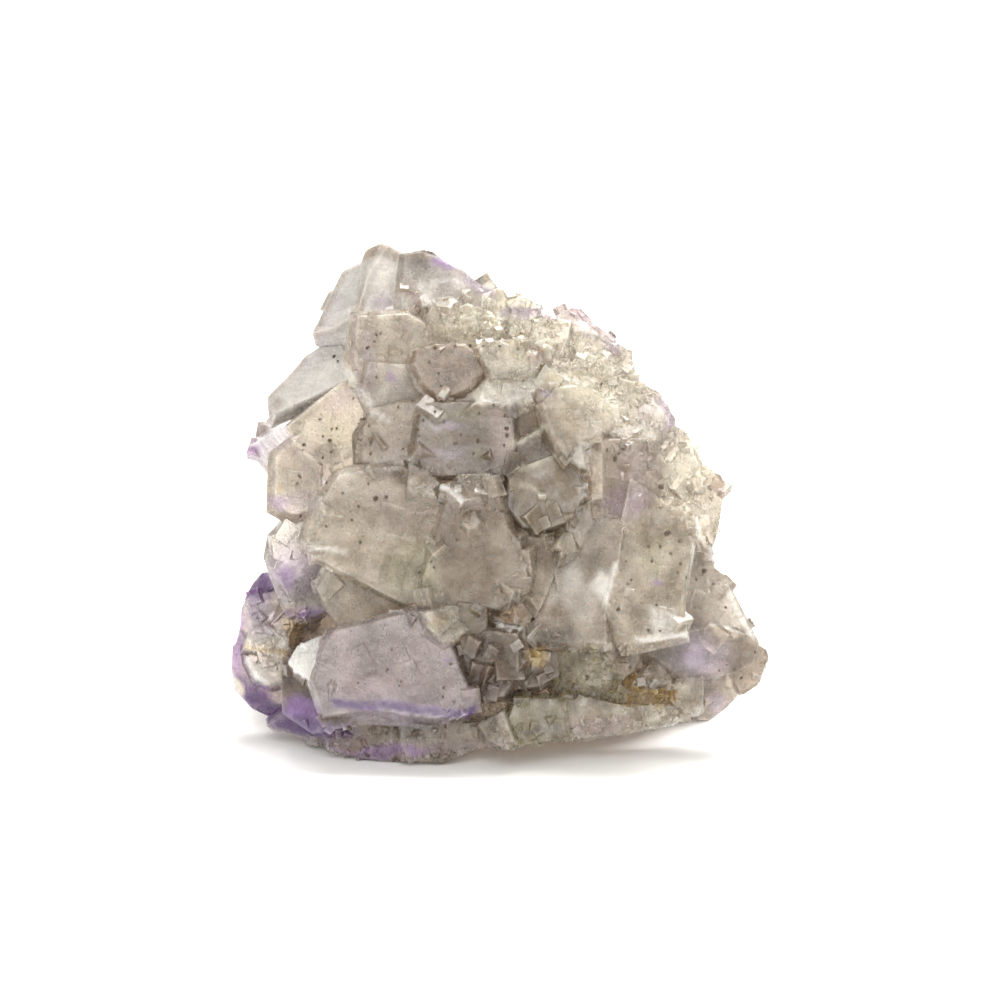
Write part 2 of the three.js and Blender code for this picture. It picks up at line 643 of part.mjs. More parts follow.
// Underside strip: the rough broken blocks between the crystals and the table.
function skirt() {
  return [
    // Brown block right of the low cube.
    block({
      outline: [
        [-5.6, 10], [-2, 12.4], [2.6, 12], [3.2, 8], [2.3, 5.6], [0.5, 3], [-3, 2.4], [-5.4, 6.6],
      ],
      face: [-1.6, 7.6], out: 4, yaw: -10, pitch: -8, reach: 9,
    }),
    // Back wall of the golden pocket.
    block({
      outline: [[2.6, 12.2], [5, 11.4], [8.4, 11], [8.8, 6], [6, 4.4], [2.6, 4]],
      face: [5.6, 8], out: 0.6, yaw: 14, pitch: 0, reach: 8,
    }),
    // Back wall of the crusted pocket.
    block({
      outline: [[8, 11], [15, 10.6], [18, 7], [17.6, 2.4], [10, 2], [7, 5]],
      face: [12.6, 6.6], out: 0.4, yaw: 0, pitch: -4, reach: 8,
    }),
    // Brow above the crusted pocket.
    block({
      outline: [[14.4, 11], [19.8, 10.6], [20.6, 7], [18, 5.6], [16.6, 7.6]],
      face: [18, 8.8], out: 3.4, yaw: 6, pitch: -14, reach: 7,
    }),
    // Small crystal over the second golden pocket.
    block({
      outline: [[20.2, 4.8], [21.4, 6.9], [23, 7.7], [24.6, 6.6], [25.4, 4.6]],
      face: [23, 5.9], out: 3.6, yaw: 6, pitch: 12, reach: 6,
    }),
    // Back wall of the second golden pocket.
    block({
      outline: [[18, 5.4], [27, 5.4], [27, 0.6], [19, 0.4]],
      face: [23, 3], out: 0.6, yaw: 6, pitch: 0, reach: 7,
    }),
    // Broad pale foot.
    block({
      outline: [
        [9.4, 2.2], [13.4, 2.6], [20.4, 1], [20.8, -1.7], [13, -3.1], [10, -2.9], [9.2, -0.6],
      ],
      face: [14.6, 0], out: 3, yaw: 8, pitch: 8, reach: 8,
    }),
    // Narrow pale foot.
    block({
      outline: [[19.8, 1.4], [26.6, 1.4], [27.2, 0], [25.4, -1.1], [22, -1.9], [19.8, -1.6]],
      face: [23, 0], out: 3.2, yaw: 18, pitch: 6, reach: 8,
    }),
    // Dark foot in the middle.
    block({
      outline: [[2.6, 2.6], [9.6, 2.6], [10.2, -2.9], [4.6, -3.9], [1, -4.8], [1.4, -0.5]],
      face: [6.4, -0.4], out: 3.4, yaw: 4, pitch: 4, reach: 8,
    }),
    // Small tooth beside it.
    block({
      outline: [[-2.9, -1], [0.6, 0.8], [2.2, -3.4], [1, -4.6], [-1.8, -3]],
      face: [-0.4, -2], out: 4.6, yaw: -14, pitch: 10, reach: 6,
    }),
    // Foot under the small group.
    block({
      outline: [
        [-34.6, -1.2], [-33, -2.7], [-30, -2.9], [-26.5, -4.7], [-24, -5], [-24, -1], [-31, 0.8],
      ],
      face: [-28, -2], out: 2.4, yaw: -20, pitch: -16, reach: 8,
    }),
    // Olive foot under the low cube.
    block({
      outline: [[-26, -1], [-24.6, -5], [-19.5, -6.2], [-15, -6.8], [-13, -6.4], [-12, -1]],
      face: [-18, -3.6], out: 3, yaw: -10, pitch: -10, reach: 9,
    }),
    // Dark foot with the cavities.
    block({
      outline: [
        [-14, -1], [-14, -6.4], [-8, -6.8], [-6, -6], [-4, -5], [-2.2, -4.6], [1.4, -4.9], [0, -1],
      ],
      face: [-8, -3.6], out: 2.6, yaw: 6, pitch: -10, reach: 9,
    }),
  ];
}

// Backing behind the open crevices, set well in, so that they are dark but closed.
function crevices() {
  return [
    // Behind the small group at the lower left.
    block({
      outline: [[-37, 17], [-26, 20], [-22, 10], [-24, 2], [-34, 2]],
      face: [-29, 12], out: -6, yaw: -12, pitch: 0, reach: 14,
    }),
    // Behind the pockets at the lower right.
    block({
      outline: [[6, 13], [30, 14], [31, 3], [26, 0.4], [8, -1]],
      face: [20, 6], out: -3, yaw: 8, pitch: 0, reach: 14,
    }),
    // Behind the cracks in the middle.
    block({
      outline: [[-26, 30], [-8, 38], [4, 38], [14, 30], [10, 10], [-20, 6]],
      face: [-4, 24], out: -9, yaw: 0, pitch: 0, reach: 14,
    }),
  ];
}

// The outline of the cluster at a height: its left and right limits, and how far its rounded front
// and back reach from the middle plane.
function leftLimit(z) {
  return LEFT_AT_TABLE + LEFT_LEAN * z;
}
function rightLimit(z) {
  const aboveShoulder = Math.max(0, z - SHOULDER_HEIGHT);
  return RIGHT_AT_TABLE - RIGHT_LEAN * (z - aboveShoulder) - SLOPE_LEAN * aboveShoulder;
}
function frontReach(z) {
  const leant = FRONT_REACH - FRONT_LEAN * Math.max(0, z - FRONT_LEAN_START);
  return Math.min(FOOT_REACH + FOOT_SPREAD * z, leant);
}
function backReach(z) {
  return BACK_REACH - BACK_LEAN * Math.max(0, z - BACK_LEAN_START);
}

// A point of the heart's skin: round is measured from the right-hand side by way of the back.
function heartSkin(round, z) {
  const middle = (leftLimit(z) + rightLimit(z)) / 2;
  const half = (rightLimit(z) - leftLimit(z)) / 2 - HEART_INSET;
  const reach = Math.sin(round) > 0 ? backReach(z) : frontReach(z);
  return [middle + half * Math.cos(round), reach * Math.sin(round), z];
}

// The grown-together heart that carries every crystal, an upright barrel that follows the outline.
function heart() {
  const geometry = new THREE.CylinderGeometry(1, 1, HEART_HEIGHT, HEART_SIDES, HEART_RINGS);
  geometry.rotateX(Math.PI / 2).translate(0, 0, HEART_HEIGHT / 2);
  const place = geometry.attributes.position;
  for (let i = 0; i < place.count; i += 1) {
    const [x, y, z] = [place.getX(i), place.getY(i), place.getZ(i)];
    const spread = Math.hypot(x, y);
    const [skinX, skinY] = heartSkin(Math.atan2(y, x), z);
    const [middleX] = heartSkin(Math.PI / 2, z);
    place.setXYZ(i, middleX + (skinX - middleX) * spread, skinY * spread, z);
  }
  return [solid(geometry)];
}

// The unseen sides, back and top: rows of cubes on the heart's skin, each turned its own way.
function backRows() {
  const rows = [
    { z: 5, count: 9, size: 13 },
    { z: 15, count: 8, size: 11 },
    { z: 25, count: 9, size: 12 },
    { z: 36, count: 8, size: 11 },
    { z: 46, count: 7, size: 10 },
    { z: 54, count: 5, size: 9 },
    { z: 59, count: 4, size: 7 },
  ];
  return rows.flatMap(({ z, count, size }, row) =>
    Array.from({ length: count }, (_, k) => {
      const swing = GOLDEN_TURN * (k + row * count);
      const edge = size * (1 + SIZE_SPREAD * Math.sin(swing));
      const wrap = z < WRAP_HEIGHT ? SIDE_WRAP : 0;
      const along = (k + (row % 2) * 0.5 + 0.25) / count;
      const round = (Math.PI + 2 * wrap) * along - wrap;
      const geometry = new THREE.BoxGeometry(...CUBE_SHAPE.map((share) => share * edge));
      const [turnX, turnY, turnZ] = TUMBLE.map((share) => share * swing);
      geometry.rotateX(turnX).rotateY(turnY).rotateZ(turnZ);
      const [x, y] = heartSkin(round, z);
      const [middle] = heartSkin(Math.PI / 2, z);
      const sink = 1 - (SUNK_SHARE * edge) / Math.hypot(x - middle, y);
      geometry.translate(middle + (x - middle) * sink, y * sink + BACK_SHIFT, z);
      return solid(geometry);
    }),
  );
}

const solids = [
  heart, crevices, backRows, upperLeft, leftSide, crown, rightSlope, centre, rightSide, lowerLeft,
  skirt,
].flatMap((make) => make());
const joined = solids.reduce((whole, piece) => whole.add(piece));

// The underside is cut off flat, so that the cluster stands on it.
const below = new THREE.BoxGeometry(TABLE_CUT_SIZE, TABLE_CUT_SIZE, TABLE_CUT_SIZE);
below.translate(0, 0, -TABLE_CUT_SIZE / 2);
const standing = joined.subtract(solid(below));

// Gaps that the crystals close off between them are filled: the outer skin is the cluster.
const skins = standing.decompose().sort((a, b) => b.volume() - a.volume());

// The origin is on the table, under the middle of the cluster's box.
const { min, max } = skins[0].boundingBox();
const grown = skins[0].translate(-(min[0] + max[0]) / 2, -(min[1] + max[1]) / 2, 0);

function toGeometry(manifold) {
  const { vertProperties, triVerts } = manifold.getMesh();
  const geometry = new THREE.BufferGeometry();
  geometry.setAttribute("position", new THREE.BufferAttribute(vertProperties, 3));
  geometry.setIndex(new THREE.BufferAttribute(triVerts, 1));
  geometry.computeVertexNormals();
  return geometry;
}

const material = new THREE.MeshStandardMaterial({ color: COLOURS.crystal, roughness: 0.35, metalness: 0 });
const cluster = new THREE.Mesh(toGeometry(grown), material);
cluster.name = "fluorite_cluster";
const group = new THREE.Group();
group.add(cluster);
export default group;
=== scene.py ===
# %% [markdown]
# # A fluorite cluster in Blender
# The real piece is a hand-sized group of fluorite cubes that grew into each other. It is pale,
# cloudy and see-through at its edges, with lilac and purple zones, dark specks and a sugary crust
# on one slope. This lesson models it crystal by crystal with Blender's own operators, joins
# everything that grew together into one closed solid, and then gives it a frosted, light-carrying
# material. First the imported model is loaded as a fixed frame.

# %% The frame
import math
import random

import bmesh
import bpy
import numpy as np
from mathutils import Euler, Matrix, Vector, noise
from mathutils.bvhtree import BVHTree


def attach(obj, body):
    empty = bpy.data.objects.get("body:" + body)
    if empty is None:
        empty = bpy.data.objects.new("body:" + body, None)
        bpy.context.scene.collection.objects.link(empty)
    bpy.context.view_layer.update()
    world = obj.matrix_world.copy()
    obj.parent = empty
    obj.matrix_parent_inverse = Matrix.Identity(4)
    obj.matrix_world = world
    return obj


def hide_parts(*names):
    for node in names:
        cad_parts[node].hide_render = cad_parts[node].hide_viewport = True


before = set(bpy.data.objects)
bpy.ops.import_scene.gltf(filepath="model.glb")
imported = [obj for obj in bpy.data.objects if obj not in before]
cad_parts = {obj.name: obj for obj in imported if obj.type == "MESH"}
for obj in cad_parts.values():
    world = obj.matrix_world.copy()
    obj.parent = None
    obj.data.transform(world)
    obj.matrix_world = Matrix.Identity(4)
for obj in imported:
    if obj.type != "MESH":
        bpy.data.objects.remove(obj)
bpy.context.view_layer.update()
MM = 0.001

# %% [markdown]
# The photograph looks down on the cluster by about fifteen degrees. A front place is given as it
# is seen: u millimetres to the right, v millimetres up and a depth towards the eye. One small
# matrix turns that into Blender's own axes, so every crystal can be laid out straight from what is
# seen.

# %% Places as they are seen
VIEW_TILT = math.radians(15)
ORIGIN_SHIFT = Vector((0.1, 1.7095, 0))
RIGHT = Vector((1, 0, 0))
UP = Vector((0, math.sin(VIEW_TILT), math.cos(VIEW_TILT)))
TOWARDS = Vector((0, -math.cos(VIEW_TILT), math.sin(VIEW_TILT)))
FRONT = Matrix((RIGHT, UP, TOWARDS)).transposed()


def seen_place(u, v, depth):
    """A place in metres, from what is seen in millimetres."""
    return (FRONT @ Vector((u, v, depth)) + ORIGIN_SHIFT) * MM


# The rounded front: half its width, the height of its middle, its reach up and down from there,
# and how deep it starts and how far it curves out, all in millimetres.
HALF_WIDTH, MIDDLE = 40, 31
REACH_UP, REACH_DOWN = 40, 70
FRONT_START, FRONT_CURVE = 4, 24


def bulge(u, v):
    """Depth of the cluster's rounded front, in millimetres."""
    reach = REACH_UP if v > MIDDLE else REACH_DOWN
    left = 1 - (u / HALF_WIDTH) ** 2 - ((v - MIDDLE) / reach) ** 2
    return FRONT_START + FRONT_CURVE * math.sqrt(max(0, left))


nearest = seen_place(0, MIDDLE, bulge(0, MIDDLE))
print("the middle of the front is at", [round(c, 4) for c in nearest])

# %% [markdown]
# A specimen is best shown on a plain pale floor with a long lens, so that its upright edges stay
# upright. The light is a large soft panel above and behind, which makes the upper rim glow, a
# weaker one from the front, and an even pale surrounding. The frame of the picture is 146 mm wide
# where the front faces are.

# %% Camera, lights and floor
scene = bpy.context.scene
scene.view_settings.view_transform = "Standard"
FRAME_WIDTH = 146.25
SENSOR = 36.0
LENS = 200.0
AIM = seen_place(0.22, 31.3, 18)
LIT_POINT = (0, 0, 0.03)
PANEL_SIZE = 0.5
FLOOR_SIZE = 30
FLOOR_GAP = 0.0002


def add_panel(name, place, power, colour):
    """A square area light that faces the cluster."""
    bpy.ops.object.light_add(type="AREA", location=place)
    panel = bpy.context.active_object
    panel.name = name
    panel.data.shape = "SQUARE"
    panel.data.size = PANEL_SIZE
    panel.data.energy = power
    panel.data.color = colour
    panel.rotation_euler = (Vector(LIT_POINT) - Vector(place)).to_track_quat("-Z", "Y").to_euler()


bpy.ops.object.camera_add()
camera = bpy.context.active_object
camera.data.lens = LENS
camera.data.sensor_width = SENSOR
camera.data.clip_end = 20
camera.location = AIM + TOWARDS * FRAME_WIDTH * MM * LENS / SENSOR
camera.rotation_euler = (-TOWARDS).to_track_quat("-Z", "Y").to_euler()
scene.camera = camera

add_panel("panel_above", (0.12, 0.25, 0.55), 9.0, (1.0, 0.98, 0.95))
add_panel("panel_front", (-0.08, -0.62, 0.42), 3.0, (1.0, 0.98, 0.94))

world = bpy.data.worlds.new("pale_surround")
scene.world = world
world.use_nodes = True
surround = world.node_tree.nodes["Background"].inputs
surround["Color"].default_value = (1.0, 0.985, 0.95, 1)
surround["Strength"].default_value = 0.75

bpy.ops.mesh.primitive_plane_add(size=FLOOR_SIZE, location=(0, 0, -FLOOR_GAP))
floor = bpy.context.active_object
floor.name = "floor"
floor_finish = bpy.data.materials.new("pale_floor")
floor_finish.use_nodes = True
paper = floor_finish.node_tree.nodes["Principled BSDF"].inputs
paper["Base Color"].default_value = (0.93, 0.93, 0.93, 1)
paper["Roughness"].default_value = 0.8
floor.data.materials.append(floor_finish)
print("camera is", round((camera.location - AIM).length, 3), "m from the cluster")

# %% [markdown]
# Most crystals in the photograph show one face. Each starts as a circle with one corner for each
# corner of that face. The corners are moved to their places on a tilted plane, which gives every
# crystal its own direction: that is what makes the real faces light up one by one. The face is
# then extruded back to a shoulder that is a little wider, and on into the cluster, so no gap opens
# beside its neighbours. One corner is chipped off with a bisect, and a bevel wears the edges, so
# that they catch the light.

# %% One crystal from one face
EDGE_WEAR = 0.14
CHIP_SIZE = 0.9
CHIP_SHARES = (0.3, 1)
CHIP_SLANTS = (0.5, 1.3)
LEAST_REACH = 1
EYE = 120
dice = random.Random(7)


def only(piece):
    """Selects one object and nothing else."""
    bpy.ops.object.select_all(action="DESELECT")
    piece.select_set(True)
    bpy.context.view_layer.objects.active = piece


def face_turn(yaw, pitch):
    """How a face is turned: yaw to the right, pitch upwards, in degrees."""
    sideways = Matrix.Rotation(math.radians(yaw), 3, "Y")
    return sideways @ Matrix.Rotation(-math.radians(pitch), 3, "X")


def front_place(pivot):
    """The way from axes at a pivot, as the eye sees them, to Blender's own axes."""
    return Matrix.Translation(ORIGIN_SHIFT * MM) @ FRONT.to_4x4() @ Matrix.Translation(pivot * MM)


def put_on_front(piece, turn, pivot):
    """Moves a piece from its own axes to its place on the front, and applies that to the mesh."""
    piece.matrix_world = front_place(pivot) @ turn.to_4x4()
    only(piece)
    bpy.ops.object.transform_apply(location=True, rotation=True, scale=True)


def lay_out(outline, face, out, yaw, pitch):
    """The corners of a face in its own plane, with its turn and pivot, all in millimetres."""
    turn = face_turn(yaw, pitch)
    outward = turn.col[2]
    pivot = Vector((face[0], face[1], bulge(*face) + out))
    corners = []
    for u, v in zip(outline[::2], outline[1::2]):
        across, upward = u - pivot.x, v - pivot.y
        deep = -(outward.x * across + outward.y * upward) / outward.z
        corners.append(turn.transposed() @ Vector((across, upward, deep)))
    return corners, turn, pivot


def sides_of(corners):
    """Each corner with the next one, all the way round."""
    return list(zip(corners, corners[1:] + corners[:1]))


def tree_of(piece):
    """A tree of the piece's faces that rays can be sent at."""
    shape = bmesh.new()
    shape.from_mesh(piece.data)
    shape.transform(piece.matrix_world)
    tree = BVHTree.FromBMesh(shape)
    shape.free()
    return tree


CAD_SKIN = tree_of(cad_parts["fluorite_cluster"])
SHOULDER_DEPTH = 2.4
SHOULDER = 1.2
SHOULDER_SHARES = (1, 0.7, 0.4, 0.15)
SILHOUETTE_MARGIN = 0.3


def is_seen_inside(u, v):
    """Whether the eye sees the cluster at (u, v)."""
    return CAD_SKIN.ray_cast(seen_place(u, v, EYE), -TOWARDS)[0] is not None


def shoulder_of(corner, middle, turn, pivot):
    """How far a crystal may widen under one corner without being seen past the outline."""
    away = (corner - middle).normalized()
    below = Vector((0, 0, SHOULDER_DEPTH))
    for share in SHOULDER_SHARES:
        spread = away * SHOULDER * share
        seen = pivot + turn @ (corner + spread + away * SILHOUETTE_MARGIN - below)
        if is_seen_inside(seen.x, seen.y) and seen_place(*seen).z > 0:
            return spread
    return Vector()


def start_shape(add, **settings):
    """Adds a primitive and opens it in edit mode."""
    bpy.ops.object.select_all(action="DESELECT")
    add(**settings)
    bpy.ops.object.mode_set(mode="EDIT")
    return bpy.context.active_object


def move_corner(vert, offset):
    """Moves one corner of the shape that is being edited."""
    bpy.ops.mesh.select_all(action="DESELECT")
    vert.select = True
    bpy.ops.transform.translate(value=offset)


def extrude(height):
    """Extrudes what is selected along the shape's own upright axis."""
    bpy.ops.mesh.extrude_region_move(TRANSFORM_OT_translate={"value": (0, 0, height)})


def wear_edges(width, segments=2):
    """Bevels all edges of the shape that is being edited, and leaves edit mode."""
    bpy.ops.mesh.select_all(action="SELECT")
    bpy.ops.mesh.bevel(offset=width, segments=segments, affect="EDGES", clamp_overlap=True)
    bpy.ops.object.mode_set(mode="OBJECT")


def draw_face(corners):
    """A new crystal in edit mode, so far one flat face with the given corners, and its cage."""
    crystal = start_shape(bpy.ops.mesh.primitive_circle_add,
                          vertices=len(corners), radius=MM, fill_type="NGON")
    cage = bmesh.from_edit_mesh(crystal.data)
    cage.verts.ensure_lookup_table()
    face = cage.faces[:][0]
    order = [loop.vert for loop in face.loops]
    if face.normal.z < 0:
        order = order[::-1]
    for vert, corner in zip(order, corners):
        move_corner(vert, Vector((corner.x, corner.y, 0)) * MM - vert.co)
    return crystal, cage


def grow_face_crystal(outline, face, out, yaw, pitch, reach, tone):
    """A crystal that shows one face, with worn edges and one chipped corner."""
    corners, turn, pivot = lay_out(outline, face, out, yaw, pitch)
    middle = sum(corners, Vector()) / len(corners)
    if sum(a.cross(b).z for a, b in sides_of(corners)) <= 0:
        corners = corners[::-1]
    crystal, cage = draw_face(corners)
    bpy.ops.mesh.select_all(action="SELECT")
    extrude(-SHOULDER_DEPTH * MM)
    for corner in corners:
        below = (corner - Vector((0, 0, SHOULDER_DEPTH))) * MM
        nearest = min(cage.verts, key=lambda vert: (vert.co - below).length)
        move_corner(nearest, shoulder_of(corner, middle, turn, pivot) * MM)
    bpy.ops.mesh.select_all(action="DESELECT")
    halfway = -0.5 * SHOULDER_DEPTH * MM
    for face_below in cage.faces:
        face_below.select_set(all(vert.co.z < halfway for vert in face_below.verts))
    extrude(-max(reach - SHOULDER_DEPTH, LEAST_REACH) * MM)
    bpy.ops.mesh.select_all(action="SELECT")
    bpy.ops.mesh.normals_make_consistent(inside=False)
    chipped = corners[dice.randrange(len(corners))]
    away = (chipped - middle).normalized()
    cut = (chipped - away * (dice.uniform(*CHIP_SHARES) * CHIP_SIZE)) * MM
    slant = Vector((away.x, away.y, dice.uniform(*CHIP_SLANTS))).normalized()
    bpy.ops.mesh.bisect(plane_co=cut, plane_no=slant, use_fill=True, clear_outer=True)
    wear_edges(EDGE_WEAR * MM)
    put_on_front(crystal, turn, pivot)
    return crystal


print("edges are worn by", EDGE_WEAR, "mm")

# %% [markdown]
# The crystals are listed group by group, as they are found when the eye goes over the photograph.
# Each has the corners of its face (u and v in turn), one point of the face, how far that point
# stands out of the rounded front, how the face is turned (yaw and pitch), how far the crystal
# reaches in, and the name of its tone. Whoever changes one number sees that one crystal change.

# %% Crystals of the upper half
# Upper left: two clear crystals behind, and the grey-beige crystal in front of them.
UPPER_LEFT = [
    # Clear crystal at the top left, the left face of its ridge.
    ([-27.5, 55.8, -25, 61.2, -22.7, 66, -19, 68.3, -18.6, 65.5, -20.1, 60.5, -21, 58.4,
      -24, 56.7], (-20.1, 60.5), 0, -38, 22, 10, "glass"),
    # The same crystal, the right face of its ridge.
    ([-19.1, 68.3, -17, 69.3, -15, 68.2, -13.4, 67.3, -12, 57, -21, 58.2, -20.3, 60.5,
      -18.8, 65.5], (-20.1, 60.5), 0, 16, 5, 10, "frost"),
    # The same crystal, its lower face.
    ([-27.5, 55.8, -24, 56.7, -21, 58.5, -20, 56, -21, 51.5, -23.8, 52, -25.2, 53.2, -27, 54],
     (-21, 58.4), 0, -14, -32, 9, "glass"),
    # Translucent crystal at the left edge.
    ([-26.5, 53.8, -28.5, 52.5, -31, 49.6, -34.2, 46.4, -34.4, 45.1, -33.6, 43.6, -22, 49,
      -23, 54], (-29, 49), -3, -20, 25, 9, "glass"),
    # Grey-beige crystal, its upper step.
    ([-20.4, 57.9, -13.2, 58.3, -9.5, 56, -9, 50, -13, 48, -20.3, 48.2, -21.3, 51.5],
     (-15, 53), 2.2, 7, 2, 12, "sand"),
    # The same crystal, its lower step.
    ([-21.2, 51.4, -10, 50.6, -9.5, 45.5, -13, 42.5, -18.2, 44, -20.3, 48.2],
     (-15, 48), 1.2, 7, -4, 12, "pale"),
    # Thin wedge against the crown.
    ([-13.4, 58.3, -11.4, 60.9, -10.7, 58.6, -10.8, 55.5, -13.4, 55.5],
     (-12, 58), 1, -18, 8, 7, "brownish"),
]
# Left side: the speckled cube, the purple one under it, the wide plate, the block in its shadow.
LEFT_SIDE = [
    # Speckled cube below the large one.
    ([-32.4, 37.6, -29.8, 39.8, -26, 36.2, -26, 30.6, -27.5, 29.2, -30, 29.2, -32.5, 30.5],
     (-29, 34), 2, 13, 8, 10, "sand"),
    # Purple-tinted cube under that.
    ([-33.1, 26.1, -30.5, 27.4, -28, 28.6, -24, 24, -24.5, 16, -26.5, 14.3, -29.2, 14.4,
      -31.2, 18.5, -32.7, 22.5], (-29, 21), 1.5, 14, 0, 8, "pale"),
    # Wide plate left of the middle.
    ([-28.1, 25.4, -26.4, 30, -23, 35, -14, 36.2, -8.8, 33.4, -7.6, 30.5, -10.9, 16.3, -14, 16.4,
      -22.5, 20.9, -27, 23.4], (-18, 27), 2.5, -2, -3, 12, "sand"),
    # Block in the shadow of the plate.
    ([-26.3, 18.3, -24.5, 21.5, -13, 17, -14.2, 14.5, -17.2, 10.6, -19.8, 10, -22, 11.5,
      -24.5, 14.8], (-20, 16), 0.5, -6, -12, 10, "sand"),
    # Hollow between the large cube and the centre.
    ([-18.5, 44.5, -13, 45.5, -10.3, 45.2, -10.3, 36.8, -13, 35.5, -20.4, 37, -20.3, 41,
      -19, 42.5], (-15, 41), 1, -4, 4, 10, "taupe"),
]
# Crown: the lilac crystal with the curved cleavage and the small crystals under it.
CROWN = [
    # Lilac crystal with the curved cleavage.
    ([-13.6, 67.2, -11, 67.6, -8.8, 66.6, -5, 64.8, -3.7, 63.4, -0.8, 61, -3, 57, -13.5, 57,
      -14.3, 61], (-8, 62), 0, 6, 12, 10, "pale"),
    # Its rounded cap.
    ([-13.6, 67.3, -12.4, 68, -11, 68.2, -9.7, 67.9, -8.6, 67, -7.7, 65.7, -9, 64.6, -13, 65],
     (-11, 66.5), 0.6, -4, 25, 8, "earth"),
    # The lower half of the cap.
    ([-8, 65.5, -6.8, 65.8, -5.8, 65.2, -4.3, 64.6, -3.9, 63.2, -7, 63],
     (-6, 64.6), 0.4, 16, 30, 7, "lilac"),
    # Upright sliver in front of it.
    ([-10.6, 58, -9.7, 59.2, -8.3, 60.1, -7.2, 59.6, -6.7, 58, -7, 53.5, -10.4, 54],
     (-8.6, 57), 2.4, -22, 6, 8, "sand"),
    # Cream crystal beside the sliver.
    ([-7.4, 58.4, -4.5, 60, -1, 58.7, 0.6, 56, -1, 53.5, -7.2, 53.5],
     (-3.6, 57), 1.8, 4, 30, 8, "sand"),
    # Brown-lilac crystal.
    ([-11.6, 52.8, -9, 53.8, -5, 53.6, -2.6, 52.2, -0.6, 49.4, -3, 48, -8.2, 45.8, -11, 48.5,
      -12.2, 51], (-7, 50), 3.4, 4, 10, 10, "clay"),
    # Pink-beige shelf above the centre.
    ([-9.4, 46.2, -2.5, 48.8, 0, 49.7, 5, 50.4, 7.2, 51.6, 6.8, 48.5, 3.7, 46.3, 2.1, 45.4,
      -8, 45.4], (-1, 47.4), 3.6, 0, 38, 8, "bone"),
    # Steep small crystal on the shelf.
    ([-2.6, 52.2, -0.6, 49.4, 3, 49.2, 4.6, 50.2, 4.6, 53, 4, 54.5, -1.5, 54.2, -2.8, 53.3],
     (1, 52), 4.2, 5, 14, 8, "linen"),
    # Brown-pink point beside it.
    ([4.4, 52.8, 3.8, 54.4, 6, 54.4, 7.4, 53.4, 7.2, 52.2, 6, 50.8, 4.9, 49.9],
     (5.6, 52.4), 4.2, 18, 20, 6, "linen"),
]
print(len(UPPER_LEFT) + len(LEFT_SIDE) + len(CROWN), "crystals in the upper left half")

# %% [markdown]
# The right slope of the real piece is lower and rounder. Clear crystals along its rim stand behind
# a bank that a fine crust covers, and the middle holds a cube that faces the eye squarely, with a
# dark clear one beside it. They take the same form of list, so the same function grows them.

